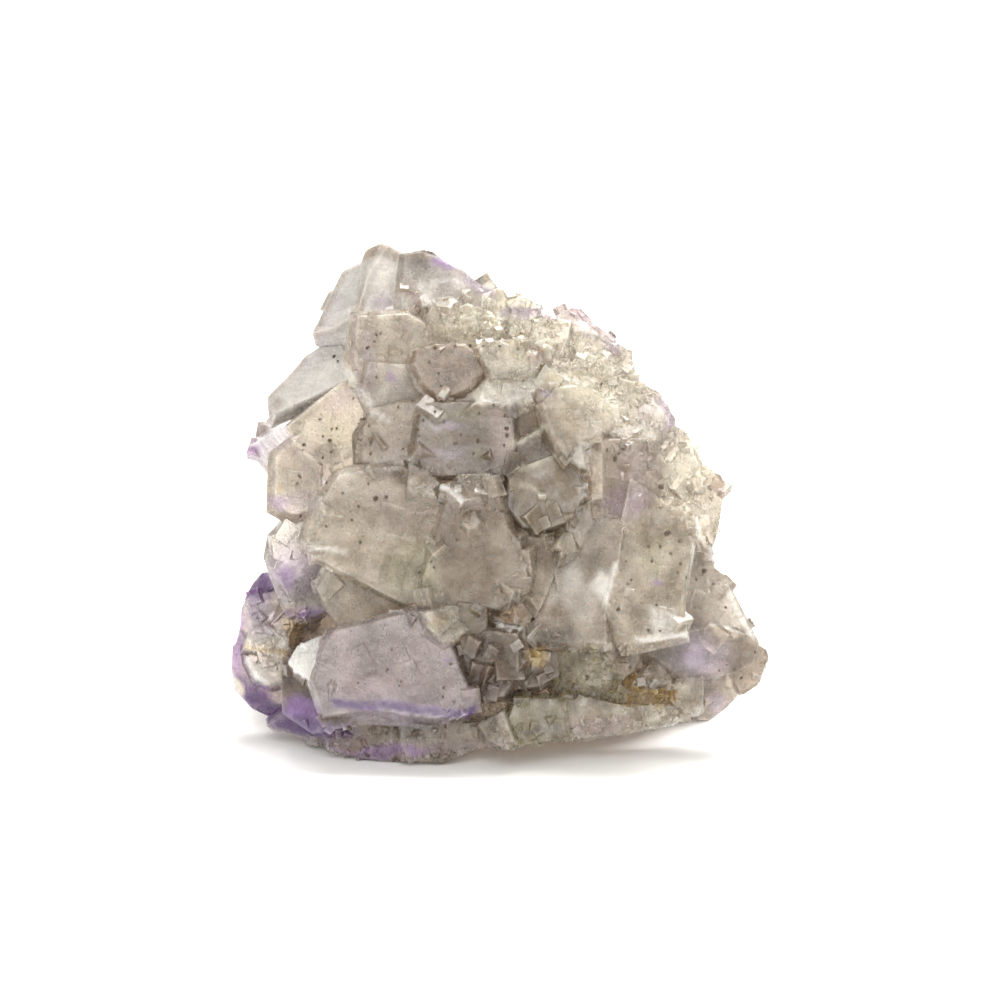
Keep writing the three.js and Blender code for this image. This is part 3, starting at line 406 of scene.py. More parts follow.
# %% Crystals of the right slope and the middle
# Right slope: clear crystals along the rim, above the bank that the fine crust covers.
RIGHT_SLOPE = [
    # Bank that the fine crust covers.
    ([-3, 60, 6, 59, 13, 56, 19, 50, 24.4, 43.5, 22.5, 40, 16.5, 40.5, 10, 47, 7, 49, 3, 53,
      -2, 54], (10, 52), -0.5, 16, 34, 12, "beige"),
    # Rim crystal next to the crown.
    ([-1.5, 61.6, -0.2, 62.3, 1, 62, 2.4, 61.2, 2.4, 57.5, -2.4, 57.5],
     (0, 60), 0.6, 0, 20, 8, "beige"),
    # Second rim crystal.
    ([2, 60.6, 2.9, 60.9, 4, 60.9, 5.2, 60.2, 6.2, 59, 5.5, 56, 2, 56],
     (4, 59), 1, 12, 20, 8, "pale"),
    # Third rim crystal, low.
    ([5.2, 59.6, 7, 58.6, 8.6, 57.8, 10.6, 57.4, 10, 54, 5, 54], (8, 57), 1.2, 10, 28, 8, "taupe"),
    # Clear round-topped rim crystal.
    ([8.2, 57.8, 9.3, 58.8, 10.8, 59.4, 12, 59.2, 13.4, 58, 14.2, 56.8, 13.5, 54, 9, 54.5],
     (11.4, 57.5), 0, 14, 14, 8, "mauve"),
    # Broad rim crystal below it.
    ([12, 57.2, 14.4, 56.8, 17, 54.8, 17.6, 53.8, 16, 51, 12, 51.5],
     (14.6, 54.6), 1.4, 24, 18, 9, "mauve"),
    # Clear rim crystal, upright.
    ([16, 54, 17.4, 54.2, 18.4, 53.4, 19.8, 51.2, 20.3, 49.3, 17, 48, 15, 51],
     (17.8, 51.6), 1.6, 30, 16, 9, "beige"),
    # Small step in the rim.
    ([18.6, 49.2, 20.4, 49, 21.4, 48.6, 22.8, 47.4, 23.1, 46.2, 20.5, 44.5, 18, 47],
     (21, 47.2), 1.8, 26, 22, 8, "brownish"),
    # Clear point in the rim.
    ([21.6, 46.6, 23.9, 45.9, 25, 44.4, 25.8, 43.2, 25.9, 42, 23, 41, 20.6, 44],
     (23.6, 44), 1.6, 28, 18, 8, "lilac"),
    # Outer crystal at the shoulder.
    ([22.4, 40.4, 25.8, 42.1, 27.6, 41, 28.2, 39.8, 29, 38, 31, 35.6, 30, 32.6, 26, 32.6, 24.2, 36,
      23.4, 38.5], (27, 37), 2.2, 20, 12, 10, "beige"),
    # Small tooth at the shoulder.
    ([30.2, 35.8, 32.4, 35, 33, 33.8, 33.2, 32.7, 32.7, 31.2, 30.2, 31, 29, 34],
     (31.6, 33.4), 2.6, 26, 6, 8, "clay"),
    # Outer crystal below the shoulder.
    ([24.3, 33, 30, 33.2, 32.8, 31.4, 32, 27, 31.2, 24.4, 28, 25, 24, 30.5],
     (28, 29.5), 2.4, 22, 2, 10, "sand"),
    # Chip under the crust.
    ([5, 47.2, 6.2, 48.6, 8.2, 48.6, 7.4, 46.8, 6.1, 45.2, 5.2, 45.8],
     (6.6, 47), 3, -6, 10, 6, "clay"),
    # Pale six-sided crystal.
    ([6.3, 45.3, 8.2, 47.5, 11, 48, 14.3, 47, 16.2, 43.3, 16, 41.9, 14.7, 40.9, 11.6, 40,
      9.9, 37.4, 7.6, 41], (11, 43), 4.2, 6, 18, 10, "taupe"),
    # Sliver beside it.
    ([9.8, 37.6, 12, 40.4, 12.4, 36.6, 11.6, 36.4], (11.4, 38.4), 3.6, 0, 10, 6, "bone"),
]
# Centre: the square-on cube, the dark clear one beside it and the block below them.
CENTRE = [
    # Square-on cube in the middle.
    ([-11, 45.3, 2.1, 45.4, 2.3, 35.2, -0.5, 34.8, -10, 34.8, -12, 38],
     (-4.5, 40), 2.6, 0, 1, 12, "smoke"),
    # White chip at its lower left corner.
    ([-10, 35, -13, 37, -13, 32.8, -9.3, 32], (-11.4, 35), 3.2, -10, 20, 5, "linen"),
    # Dark clear crystal, its upper facet.
    ([2.1, 45.2, 3.7, 46.3, 4.9, 46, 6.3, 43.4, 7, 41.8, 2.4, 39.2],
     (4.5, 43), 0.8, 8, -4, 9, "taupe"),
    # The same crystal, its middle facet.
    ([2.3, 39.4, 6.9, 42, 9.9, 37.5, 8.3, 36.4, 2.2, 34.4], (5.5, 38.6), 1.2, 4, 0, 9, "earth"),
    # Dark block below them.
    ([1.6, 35.4, 8.3, 38, 11.4, 37.2, 11.5, 34.4, 12.3, 32.2, 11.4, 30.4, 9.8, 28.2, 6.5, 27,
      3.6, 27.4, 1.4, 30.4], (7, 32.5), 1.6, 6, 6, 9, "shadow"),
    # Bright step under the square-on cube.
    ([-5.4, 31.2, -8, 32.8, -5, 35, -0.5, 35.2, -0.6, 33.6, -3, 31.6],
     (-4, 33.6), 4.2, -6, 30, 6, "fawn"),
    # Brownish plate in the middle.
    ([-7.4, 31.4, -3, 33.6, -0.5, 33.8, 1.2, 27.2, 3, 25.3, 4.6, 18.2, 0, 15.9, -10.8, 16.1,
      -10.8, 20, -9, 25.5], (-3.5, 24), 3.6, -4, -4, 12, "taupe"),
    # Small chip on the plate.
    ([-5.2, 28, -4.8, 29.8, -3.5, 30, -2.8, 28.4, -3.3, 27.4, -4.4, 27.2],
     (-4, 28.6), 4.8, -10, 16, 4, "sand"),
    # Narrow crystal beside the plate.
    ([2.8, 26.3, 8.2, 25.5, 9.6, 23.7, 8.5, 21.4, 5.8, 15.2, 4.2, 17.5, 2.8, 22],
     (6, 22), 2.2, 12, 0, 9, "taupe"),
    # Small chip above the narrow crystal.
    ([8.4, 25.4, 9.4, 26.6, 10.6, 26.6, 11.2, 24.4, 9, 23.4], (9.8, 25.2), 3.4, 5, 20, 5, "sand"),
    # Wedge under the dark block.
    ([10.4, 30.2, 13, 30.8, 15.4, 29.6, 11.6, 24, 9.6, 26.4], (12, 27.8), 2, 0, 14, 7, "taupe"),
]
print(len(RIGHT_SLOPE) + len(CENTRE), "crystals on the slope and in the middle")

# %% [markdown]
# The right side has the tallest crystal, a tent of two faces. Towards the foot the crystals get
# small and rough, because the piece was broken off its rock there. The last group closes the deep
# cracks from behind: in the photograph one looks on to more crystal there, never through the
# piece.

# %% Crystals of the right side and the foot
# Right side: the lilac cube with its upright edge, the tall tent below it and the outer crystals.
RIGHT_SIDE = [
    # Lilac cube that faces right.
    ([14.9, 39.9, 21.6, 40.2, 23.2, 38, 24.3, 36, 24.2, 33, 23.6, 30.4, 19, 28, 14.9, 29.4],
     (17, 35), 4.4, 17, 2, 9.5, "taupe"),
    # Tall tent, its right face.
    ([19, 34.6, 25, 30.2, 28.3, 27, 26.3, 17, 27.2, 12.1, 20, 10.6, 14.8, 10.8, 15.2, 16.5,
      16.8, 22, 17.8, 28.5], (17, 22), 6.4, 6, 10, 12, "fawn"),
    # The same tent, its left face.
    ([19, 34.6, 15, 29.2, 11, 24.7, 8.6, 22.6, 7, 18.5, 5.6, 14.5, 4.4, 11.5, 8, 10.8, 15.4, 10.8,
      15.4, 16.5, 17.2, 22], (17, 22), 6.4, -22, 9, 12, "beige"),
    # Outer crystal with the bright rim.
    ([28.2, 27.2, 30.6, 23.5, 31.6, 21.3, 33, 20.2, 35.3, 15.9, 36.6, 13.2, 38, 10.6, 36, 11.6,
      31, 13, 27, 12.2, 26.1, 17.3], (28.5, 19), 5, 24, 8, 11, "beige"),
    # Small tooth above it.
    ([31, 24.2, 32, 22.9, 33.3, 22.4, 32.9, 20.2, 31, 19.6], (32, 22), 1.5, 20, 8, 5, "earth"),
    # Broad low crystal with the purple core.
    ([19.6, 10.8, 27, 12.2, 31, 13, 36, 11.7, 38, 10.4, 37, 7.6, 34, 6, 30, 5.2, 26.5, 4.8,
      24, 6.4, 21, 8], (30, 12.5), 7, 10, -14, 11, "umber"),
    # Low crystal at the far right.
    ([36, 11, 39.2, 9.4, 39.9, 7.4, 38.6, 4.6, 36, 2.9, 33, 2.4, 30, 3, 29.8, 5.4, 34, 7],
     (36, 7), 9, 16, -12, 10, "umber"),
    # Lilac foot crystal.
    ([29.8, 5.6, 29.4, 1, 30.4, -0.1, 31.6, -0.1, 33.2, 0.9, 34.8, 2.7, 33.4, 5.8],
     (31.8, 2.6), 7, 14, -8, 10, "taupe"),
    # Filling beside the foot crystal.
    ([26.2, 5.4, 29.8, 5.6, 29.6, 1, 28.8, 0.6, 27, 0.2, 26, 2], (28, 3), 5.8, 4, -6, 9, "linen"),
]
# Lower left: the group of small pale crystals and the low cube with the purple band.
LOWER_LEFT = [
    # Purple crystal at the top of the small group.
    ([-37.6, 16.5, -36.3, 18.8, -34.8, 20.6, -33.2, 20.8, -32, 18, -33.5, 15],
     (-35, 18.4), -1, -14, 14, 7, "purple"),
    # Purple-rimmed crystal under it.
    ([-38.1, 11, -37.8, 15.6, -36.4, 17.2, -32.5, 18, -30.4, 13, -31, 9.4, -36, 9.6],
     (-34.5, 14), 0.6, -8, 8, 9, "umber"),
    # Brow of the eye-shaped crystal.
    ([-37.2, 9.7, -36.8, 11.6, -35.5, 12.9, -33.2, 12.4, -31.3, 10.8, -30.9, 9.2, -33, 8.5],
     (-34.4, 10.7), 2.2, -6, 16, 6, "bone"),
    # Front of the eye-shaped crystal.
    ([-39.1, 9.9, -37.2, 10.3, -31.9, 8.6, -31.6, 1.5, -33.3, -0.5, -36.4, 0.5, -38.7, 3.5,
      -39.3, 6.5], (-35, 5), 2, -6, -6, 9, "mauve"),
    # Its raised lip.
    ([-36.9, 8.4, -32, 8.6, -31.8, 4.6, -33.5, 4.3, -35.3, 5.2, -36.5, 7.1],
     (-34.4, 6.8), 3, 4, 6, 5, "pale"),
    # Rounded crystal at the left edge.
    ([-40.1, 6, -39.8, 7.6, -38.9, 9.4, -36, 9, -35.5, 2, -36.8, 0.6, -38.4, 1.2, -39.6, 2.8],
     (-38, 5), 0, -20, 0, 7, "earth"),
    # Bright three-sided facet.
    ([-30.5, 7.9, -29.2, 10.1, -25.2, 12, -23.7, 12.5, -24.6, 10.6, -26, 6, -27, 5],
     (-26.5, 9), 4.2, -18, 26, 7, "white"),
    # Low cube, its front face.
    ([-26.7, 5.3, -25, 11, -23.6, 12.4, -14, 14.8, -12.3, 15.4, -9.8, 15, -7.5, 11.5, -3.6, 2.4,
      -5.2, 0.3, -11, 0, -18, 1.2, -25, 0.2], (-16, 7), 6.4, -4, 5, 12, "heather"),
    # The same cube, its shadowed left face, whose dark tone is painted shade.
    ([-31.7, 8.9, -30.4, 8, -26.6, 5.4, -24.6, 0.2, -25.2, -2.2, -27.2, -2.6, -31.6, 0.2],
     (-26, 3), 5.4, -40, 0, 10, "earth"),
    # The same cube, the underside with the purple band.
    ([-25.2, 1.2, -18, 1.8, -4.2, 1.4, -5.5, -1.2, -10, -1.6, -19, -1.2, -24.8, -2],
     (-15, 0.2), 6, 0, -30, 8, "earth"),
    # Peach-coloured chip above the cube.
    ([-10.3, 15.1, -7, 16, -5.7, 16, -5.4, 12, -7.5, 11, -9.2, 12.6],
     (-7.6, 13.6), 5.6, 12, 10, 6, "linen"),
    # Dark olive window.
    ([-5.9, 16.6, -1.7, 16.3, -1.7, 12.2, -2, 9.8, -5.2, 9.8, -5.6, 12.4],
     (-3.6, 13.4), 3.8, 4, 0, 7, "brown"),
]
# Underside strip: the rough broken blocks between the crystals and the table.
SKIRT = [
    # Brown block right of the low cube.
    ([-5.6, 10, -2, 12.4, 2.6, 12, 3.2, 8, 2.3, 5.6, 0.5, 3, -3, 2.4, -5.4, 6.6],
     (-1.6, 7.6), 4, -10, -8, 9, "earth"),
    # Back wall of the golden pocket.
    ([2.6, 12.2, 5, 11.4, 8.4, 11, 8.8, 6, 6, 4.4, 2.6, 4], (5.6, 8), 0.6, 14, 0, 8, "shadow"),
    # Back wall of the crusted pocket.
    ([8, 11, 15, 10.6, 18, 7, 17.6, 2.4, 10, 2, 7, 5], (12.6, 6.6), 0.4, 0, -4, 8, "olive"),
    # Brow above the crusted pocket.
    ([14.4, 11, 19.8, 10.6, 20.6, 7, 18, 5.6, 16.6, 7.6], (18, 8.8), 3.4, 6, -14, 7, "brown"),
    # Small crystal over the second golden pocket.
    ([20.2, 4.8, 21.4, 6.9, 23, 7.7, 24.6, 6.6, 25.4, 4.6], (23, 5.9), 3.6, 6, 12, 6, "taupe"),
    # Back wall of the second golden pocket.
    ([18, 5.4, 27, 5.4, 27, 0.6, 19, 0.4], (23, 3), 0.6, 6, 0, 7, "gold"),
    # Broad pale foot.
    ([9.4, 2.2, 13.4, 2.6, 20.4, 1, 20.8, -1.7, 13, -3.1, 10, -2.9, 9.2, -0.6],
     (14.6, 0), 3, 8, 8, 8, "sand"),
    # Narrow pale foot.
    ([19.8, 1.4, 26.6, 1.4, 27.2, 0, 25.4, -1.1, 22, -1.9, 19.8, -1.6],
     (23, 0), 3.2, 18, 6, 8, "linen"),
    # Dark foot in the middle.
    ([2.6, 2.6, 9.6, 2.6, 10.2, -2.9, 4.6, -3.9, 1, -4.8, 1.4, -0.5],
     (6.4, -0.4), 3.4, 4, 4, 8, "olive"),
    # Small tooth beside it.
    ([-2.9, -1, 0.6, 0.8, 2.2, -3.4, 1, -4.6, -1.8, -3], (-0.4, -2), 4.6, -14, 10, 6, "taupe"),
    # Foot under the small group.
    ([-34.6, -1.2, -33, -2.7, -30, -2.9, -26.5, -4.7, -24, -5, -24, -1, -31, 0.8],
     (-28, -2), 2.4, -20, -16, 8, "linen"),
    # Olive foot under the low cube.
    ([-26, -1, -24.6, -5, -19.5, -6.2, -15, -6.8, -13, -6.4, -12, -1],
     (-18, -3.6), 3, -10, -10, 9, "brownish"),
    # Dark foot with the cavities.
    ([-14, -1, -14, -6.4, -8, -6.8, -6, -6, -4, -5, -2.2, -4.6, 1.4, -4.9, 0, -1],
     (-8, -3.6), 2.6, 6, -10, 9, "taupe"),
]
# Backing behind the open crevices, set well in, so that they are dark but closed; their brown tones
# add painted shade there.
CREVICES = [
    # Behind the small group at the lower left.
    ([-37, 17, -26, 20, -22, 10, -24, 2, -34, 2], (-29, 12), -6, -12, 0, 14, "clay"),
    # Behind the pockets at the lower right.
    ([6, 13, 30, 14, 31, 3, 26, 0.4, 8, -1], (20, 6), -3, 8, 0, 14, "clay"),
    # Behind the cracks in the middle.
    ([-26, 30, -8, 38, 4, 38, 14, 30, 10, 10, -20, 6], (-4, 24), -9, 0, 0, 14, "umber"),
]
FACES = (UPPER_LEFT + LEFT_SIDE + CROWN + RIGHT_SLOPE + CENTRE + RIGHT_SIDE + LOWER_LEFT
         + SKIRT)
grown = [grow_face_crystal(*crystal) for crystal in FACES + CREVICES]
print(len(grown), "crystals were grown from their faces")

# %% [markdown]
# The large cube on the left shows three faces at once. Where three square corners are seen, there
# is only one way in which the cube can be turned, so its three edge headings are enough. It starts
# as a primitive cube whose sides are then set along those edges.

# %% The cube with the tip
# The corner where the three faces meet, how far it stands out, and each edge's heading in degrees
# and length as it is seen.
TIP = (-31.2, 41.8)
TIP_OUT = 2
TIP_EDGES = [(40, 15.5), (308, 12), (202, 7.1)]


def unit_cube():
    """A cube of one metre with its low corner at the origin."""
    bpy.ops.object.select_all(action="DESELECT")
    bpy.ops.mesh.primitive_cube_add(size=1, location=(0.5, 0.5, 0.5))
    bpy.ops.object.transform_apply(location=True, rotation=False, scale=False)
    return bpy.context.active_object


def cube_arms(edges):
    """The three edges of a cube in space, from their headings and their lengths as seen."""
    seen = [Vector((math.cos(math.radians(h)), math.sin(math.radians(h)))) for h, _ in edges]
    arms = []
    for i, (_, length) in enumerate(edges):
        a, b, c = seen[i], seen[(i + 1) % 3], seen[(i + 2) % 3]
        slope = math.sqrt(-a.dot(b) * a.dot(c) / b.dot(c))
        arms.append(Vector((a.x, a.y, -slope)) * length)
    return arms


tip_cube = unit_cube()
arms = cube_arms(TIP_EDGES)
lengths = [arm.length for arm in arms]
only(tip_cube)
tip_cube.scale = [length * MM for length in lengths]
bpy.ops.object.transform_apply(location=False, rotation=False, scale=True)
bpy.ops.object.mode_set(mode="EDIT")
wear_edges(EDGE_WEAR * MM)
tip_turn = Matrix([arm.normalized() for arm in arms]).transposed()
put_on_front(tip_cube, tip_turn, Vector((*TIP, bulge(*TIP) + TIP_OUT)))
grown.append(tip_cube)

# The three faces that this cube shows, in the same form as the lists, for the colours later on.
tip_faces = []
for i, tone in enumerate(("linen", "mauve", "pale")):
    a, b = arms[i], arms[(i + 1) % 3]
    across = a.cross(b).normalized()
    across = -across if across.z < 0 else across
    yaw, pitch = math.degrees(math.atan2(across.x, across.z)), math.degrees(math.asin(across.y))
    outline = [c for arm in (Vector(), a, a + b, b) for c in (TIP[0] + arm.x, TIP[1] + arm.y)]
    tip_faces.append((outline, TIP, TIP_OUT, yaw, pitch, 0, tone))

# Its upper face is longer than a cube's, and reaches the crystal above it.
TIP_WEDGE = [-37.3, 39.5, -34.5, 42.9, -33.6, 44.4, -29.5, 47.5, -26.5, 46, -31.2, 41.9]
WEDGE_OUT, WEDGE_REACH = 1.9, 5
upper_yaw, upper_pitch = tip_faces[2][3:5]
grown.append(grow_face_crystal(
    TIP_WEDGE, TIP, WEDGE_OUT, upper_yaw, upper_pitch, WEDGE_REACH, "pale"))
print("the cube with the tip has edges of", [round(length, 1) for length in lengths], "mm")

# %% [markdown]
# Inside, the crystals have grown into one mass. It is never seen, but it carries the crystals at
# the back. It is an upright barrel: a circle extruded ring by ring, each ring set to the outline
# at its height. The photograph doesn't show the back, so it gets rows of cubes as large as those
# in front, each turned its own way. One cube is modelled, and all of them are copies of it.

# %% The heart and the unseen back
HEART_SIDES = 20
HEART_RINGS = 6
HEART_HEIGHT = 60
HEART_INSET = 6
SLOPE_START = 33


def limits(z):
    """Left and right limit of the cluster, and its reach to front and back, at a height."""
    # Straight lines along the outline: a value at the table, and a change for each millimetre up.
    above = max(0, z - SLOPE_START)
    left = -38.5 + 0.25 * z
    right = 38 - 0.18 * (z - above) - 1.1 * above
    front = min(12 + 0.8 * z, 20 - 0.5 * max(0, z - 30))
    back = 18 - 0.2 * max(0, z - 20)
    return left, right, front, back


def heart_skin(round_angle, z):
    """A point of the heart's skin; the angle goes from the right side by way of the back."""
    left, right, front, back = limits(z)
    half = (right - left) / 2 - HEART_INSET
    reach = back if math.sin(round_angle) > 0 else front
    return (left + right) / 2 + half * math.cos(round_angle), reach * math.sin(round_angle)


heart = start_shape(bpy.ops.mesh.primitive_circle_add,
                    vertices=HEART_SIDES, radius=MM, fill_type="NGON")
bpy.ops.mesh.select_all(action="SELECT")
for _ in range(HEART_RINGS):
    extrude(HEART_HEIGHT / HEART_RINGS * MM)
cage = bmesh.from_edit_mesh(heart.data)
for vert in cage.verts:
    z = vert.co.z / MM
    x, y = heart_skin(math.atan2(vert.co.y, vert.co.x), z)
    vert.co = (Vector((x, y, z)) + ORIGIN_SHIFT) * MM
bmesh.update_edit_mesh(heart.data)
bpy.ops.mesh.select_all(action="SELECT")
bpy.ops.mesh.normals_make_consistent(inside=False)
bpy.ops.object.mode_set(mode="OBJECT")
grown.append(heart)

# One worn cube of a metre is modelled; its wear grows and shrinks with each copy.
WORN_SHARE = 0.03
worn_cube = start_shape(bpy.ops.mesh.primitive_cube_add, size=1)
wear_edges(WORN_SHARE, segments=1)


def reshaped_copy(model, *changes):
    """A copy with its own mesh, which each matrix changes in turn."""
    twin = bpy.data.objects.new("crystal", model.data.copy())
    bpy.context.collection.objects.link(twin)
    for change in changes:
        twin.data.transform(change)
    return twin


def copy_of(model, place, turn, size):
    """A copy with its own mesh, scaled, turned and set at a place in metres."""
    grow = Matrix.Diagonal((*size, 1))
    return reshaped_copy(model, Matrix.Translation(place) @ turn.to_4x4() @ grow)


# Rows from the table up: height, number of cubes and their size. The lower rows also come a little
# way round the sides. SWING is how much more each cube is turned than the one before it, in
# radians.
BACK_ROWS = [(5, 9, 13), (15, 8, 11), (25, 9, 12), (36, 8, 11), (46, 7, 10), (54, 5, 9),
             (59, 4, 7)]
SWING = 2.4
SIZE_SWING = 0.3
SIDE_WRAP, WRAP_BELOW = 0.35, 42
TURN_SHARES = (1, 1.3, 1.7)
CUBE_SHAPE = Vector((1, 0.92, 1.06))
BACK_SINK = 0.4
BACK_SHIFT = 4
back_cubes = []
for row, (z, count, size) in enumerate(BACK_ROWS):
    for k in range(count):
        swing = SWING * (k + row * count)
        edge = size * (1 + SIZE_SWING * math.sin(swing))
        wrap = SIDE_WRAP if z < WRAP_BELOW else 0
        along = (k + (row % 2) * 0.5 + 0.25) / count
        round_angle = (math.pi + 2 * wrap) * along - wrap
        about_z, about_y, about_x = (Matrix.Rotation(share * swing, 3, axis)
                                     for share, axis in zip(TURN_SHARES, "ZYX"))
        turn = about_z @ about_y @ about_x
        x, y = heart_skin(round_angle, z)
        middle = heart_skin(math.pi / 2, z)[0]
        sink = 1 - BACK_SINK * edge / math.hypot(x - middle, y)
        place = Vector((middle + (x - middle) * sink, y * sink + BACK_SHIFT, z)) + ORIGIN_SHIFT
        back_cubes.append(copy_of(worn_cube, place * MM, turn, CUBE_SHAPE * edge * MM))
print(len(back_cubes), "cubes round the back")

# %% [markdown]
# Crystals that grew together share their insides, so they are joined by a Boolean union into one
# closed solid: light that enters it meets no hidden walls. All the crystals go into a collection,
# and one modifier adds the whole collection to the heart, which is much quicker than one after
# another.

# %% Joining what grew together
def join_solids(base, others, operation="UNION"):
    """Adds or cuts closed solids by one Boolean modifier, and applies it."""
    group = bpy.data.collections.new("to_join")
    scene.collection.children.link(group)
    for other in others:
        for home in list(other.users_collection):
            home.objects.unlink(other)
        group.objects.link(other)
    join = base.modifiers.new("join", "BOOLEAN")
    join.operation = operation
    join.solver = "MANIFOLD"
    join.operand_type = "COLLECTION"
    join.collection = group
    only(base)
    bpy.ops.object.modifier_apply(modifier="join")
    for other in others:
        bpy.data.objects.remove(other)
    bpy.data.collections.remove(group)
    return base


grown.remove(heart)
cluster = join_solids(heart, grown + back_cubes)
cluster.name = "grown_cluster"
print("the joined cluster has", len(cluster.data.polygons), "faces")

# %% [markdown]
# Fluorite faces are seldom mirror flat. They are paved with low terraces that grew in step with
# the crystal, about a tenth of a millimetre proud. Flattened copies of the worn cube are laid on
# each listed face, in line with its longest edge and wholly inside its outline. The clear crystals
# at the upper left stay smooth, as they are in the photograph.

# %% Terraces on the faces
SLAB_DEPTH = 1.6
TERRACE_AREA = 55
TRIES_FOR_EACH = 6
SLAB_LENGTHS = (2.0, 7.0)
SLAB_WIDTHS = (0.35, 1)
SLAB_RISES = (0.03, 0.14)
SLAB_TURN, SLAB_TILT = 0.05, 0.02
SLAB_MARGIN = 1.05
CLEAN_TONES = ("glass", "frost")


def inside(point, outline):
    """Whether a flat point lies inside an outline."""
    hit = False
    for a, b in sides_of(outline):
        if (a.y > point.y) != (b.y > point.y):
            if point.x < (b.x - a.x) * (point.y - a.y) / (b.y - a.y) + a.x:
                hit = not hit
    return hit


def outline_area(outline):
    """The area inside an outline, whichever way round it runs."""
    return abs(sum(a.x * b.y - b.x * a.y for a, b in sides_of(outline))) / 2


def pave(outline, face, out, yaw, pitch, reach, tone):
    """Low slabs on a face, each wholly inside its outline."""
    corners, turn, pivot = lay_out(outline, face, out, yaw, pitch)
    longest = max((b - a for a, b in sides_of(corners)), key=lambda edge: edge.length)
    heading = math.atan2(longest.y, longest.x)
    slabs = []
    low = [min(c[i] for c in corners) for i in (0, 1)]
    high = [max(c[i] for c in corners) for i in (0, 1)]
    wanted = 0 if tone in CLEAN_TONES else int(outline_area(corners) / TERRACE_AREA)
    for _ in range(wanted * TRIES_FOR_EACH):
        if len(slabs) >= wanted:
            break
        middle = Vector((dice.uniform(low[0], high[0]), dice.uniform(low[1], high[1]), 0))
        long_side = dice.uniform(*SLAB_LENGTHS)
        short_side = long_side * dice.uniform(*SLAB_WIDTHS)
        proud = dice.uniform(*SLAB_RISES)
        spin = Matrix.Rotation(heading + dice.gauss(0, SLAB_TURN), 3, "Z")
        ends = [spin @ Vector((long_side * i / 2, short_side * j / 2, 0))
                for i in (-1, 1) for j in (-1, 1)]
        if not all(inside(middle + end * SLAB_MARGIN, corners) for end in ends):
            continue
        tip = Euler((dice.gauss(0, SLAB_TILT), dice.gauss(0, SLAB_TILT), 0)).to_matrix()
        local = Matrix.Translation((middle + Vector((0, 0, proud - SLAB_DEPTH / 2))) * MM)
        placed = front_place(pivot) @ turn.to_4x4() @ local @ (spin @ tip).to_4x4()
        # Two sides of the size are below 0: that turns the slab half round.
        size = Vector((-long_side, -short_side, SLAB_DEPTH)) * MM
        slabs.append(reshaped_copy(worn_cube, Matrix.Diagonal((*size, 1)), placed))
    return slabs


terraces = [slab for crystal in FACES for slab in pave(*crystal)]
print(len(terraces), "terraces")

# %% [markdown]
# Where two crystals meet, the smaller steps of both show: rims are stepped and splintered, never
# one clean line. Copies of the worn cube are strewn along every outline, a little behind the face.
# Most lie in line with its edge, and a few lie loose. They also close the gaps between neighbours.

# %% Steps along the outlines
STEP_SPACING = 1.5
STEP_CHANCE = 0.22
STEP_DEPTHS = (0.7, 2.8)
STEP_SIZES = (0.6, 1.8)
STEP_SHAPES = (0.6, 1)
STEP_SLIP = (-0.2, 0.3)
STEP_LEAN = 0.15
LOOSE_SHARE = 0.4
LEFT_LIMIT, LOW_LIMIT = -30, -1


def off_limits(place):
    """Whether a step would stand out at the left tip or under the base."""
    return place.x < LEFT_LIMIT or place.y < LOW_LIMIT


def step_rims(outline, face, out, yaw, pitch, reach, tone):
    """Small cubes along the rim of one face."""
    corners, turn, pivot = lay_out(outline, face, out, yaw, pitch)
    steps = []
    for a, b in sides_of(corners):
        edge = b - a
        for _ in range(int(edge.length / STEP_SPACING)):
            share, draw = dice.random(), dice.random()
            deep = dice.uniform(*STEP_DEPTHS)
            size = dice.uniform(*STEP_SIZES) * MM
            slip = dice.gauss(*STEP_SLIP)
            heading = math.atan2(edge.y, edge.x) + dice.gauss(0, STEP_LEAN)
            lean = Euler((dice.gauss(0, STEP_LEAN), dice.gauss(0, STEP_LEAN), 0)).to_matrix()
            if dice.random() < LOOSE_SHARE:
                lean = Euler([dice.uniform(0, math.pi) for _ in range(3)]).to_matrix()
            start = a + edge * share
            if draw > STEP_CHANCE or tone in CLEAN_TONES or off_limits(start + pivot):
                continue
            sideways = Vector((edge.y, -edge.x, 0)).normalized() * slip
            place = (start + sideways - Vector((0, 0, deep))) * MM
            shape = (size, size * dice.uniform(*STEP_SHAPES), size * dice.uniform(*STEP_SHAPES))
            lie = (Matrix.Rotation(heading, 3, "Z") @ lean).to_4x4()
            local = turn.to_4x4() @ Matrix.Translation(place) @ lie
            steps.append(reshaped_copy(
                worn_cube, Matrix.Diagonal((*shape, 1)), front_place(pivot) @ local))
    return steps


rim_steps = [step for crystal in FACES for step in step_rims(*crystal)]
print(len(rim_steps), "steps along the rims")

# %% [markdown]
# Small cubes fill the seams between the big ones. To find where they sit, a ray is sent from the
# eye on to the joined cluster, and a copy of the worn cube is sunk partly into the skin there,
# turned at random. Each zone of the list says where such cubes are found, how large they are and
# how many.

# %% Small cubes in the seams
skin = tree_of(cluster)


def on_front(u, v):
    """The place and direction of the skin that is seen at (u, v), in metres, or None."""
    place, normal, _, _ = skin.ray_cast(seen_place(u, v, EYE), -TOWARDS)
    return (place, normal) if place else None


def random_turn():
    """A turn drawn from the dice."""
    return Euler([dice.uniform(0, 2 * math.pi) for _ in range(3)]).to_matrix()


def squeezed(least_wide, least_high):
    """The shape of a cube with its second and third side drawn shorter than its first."""
    return Vector((1, dice.uniform(least_wide, 1), dice.uniform(least_high, 1)))


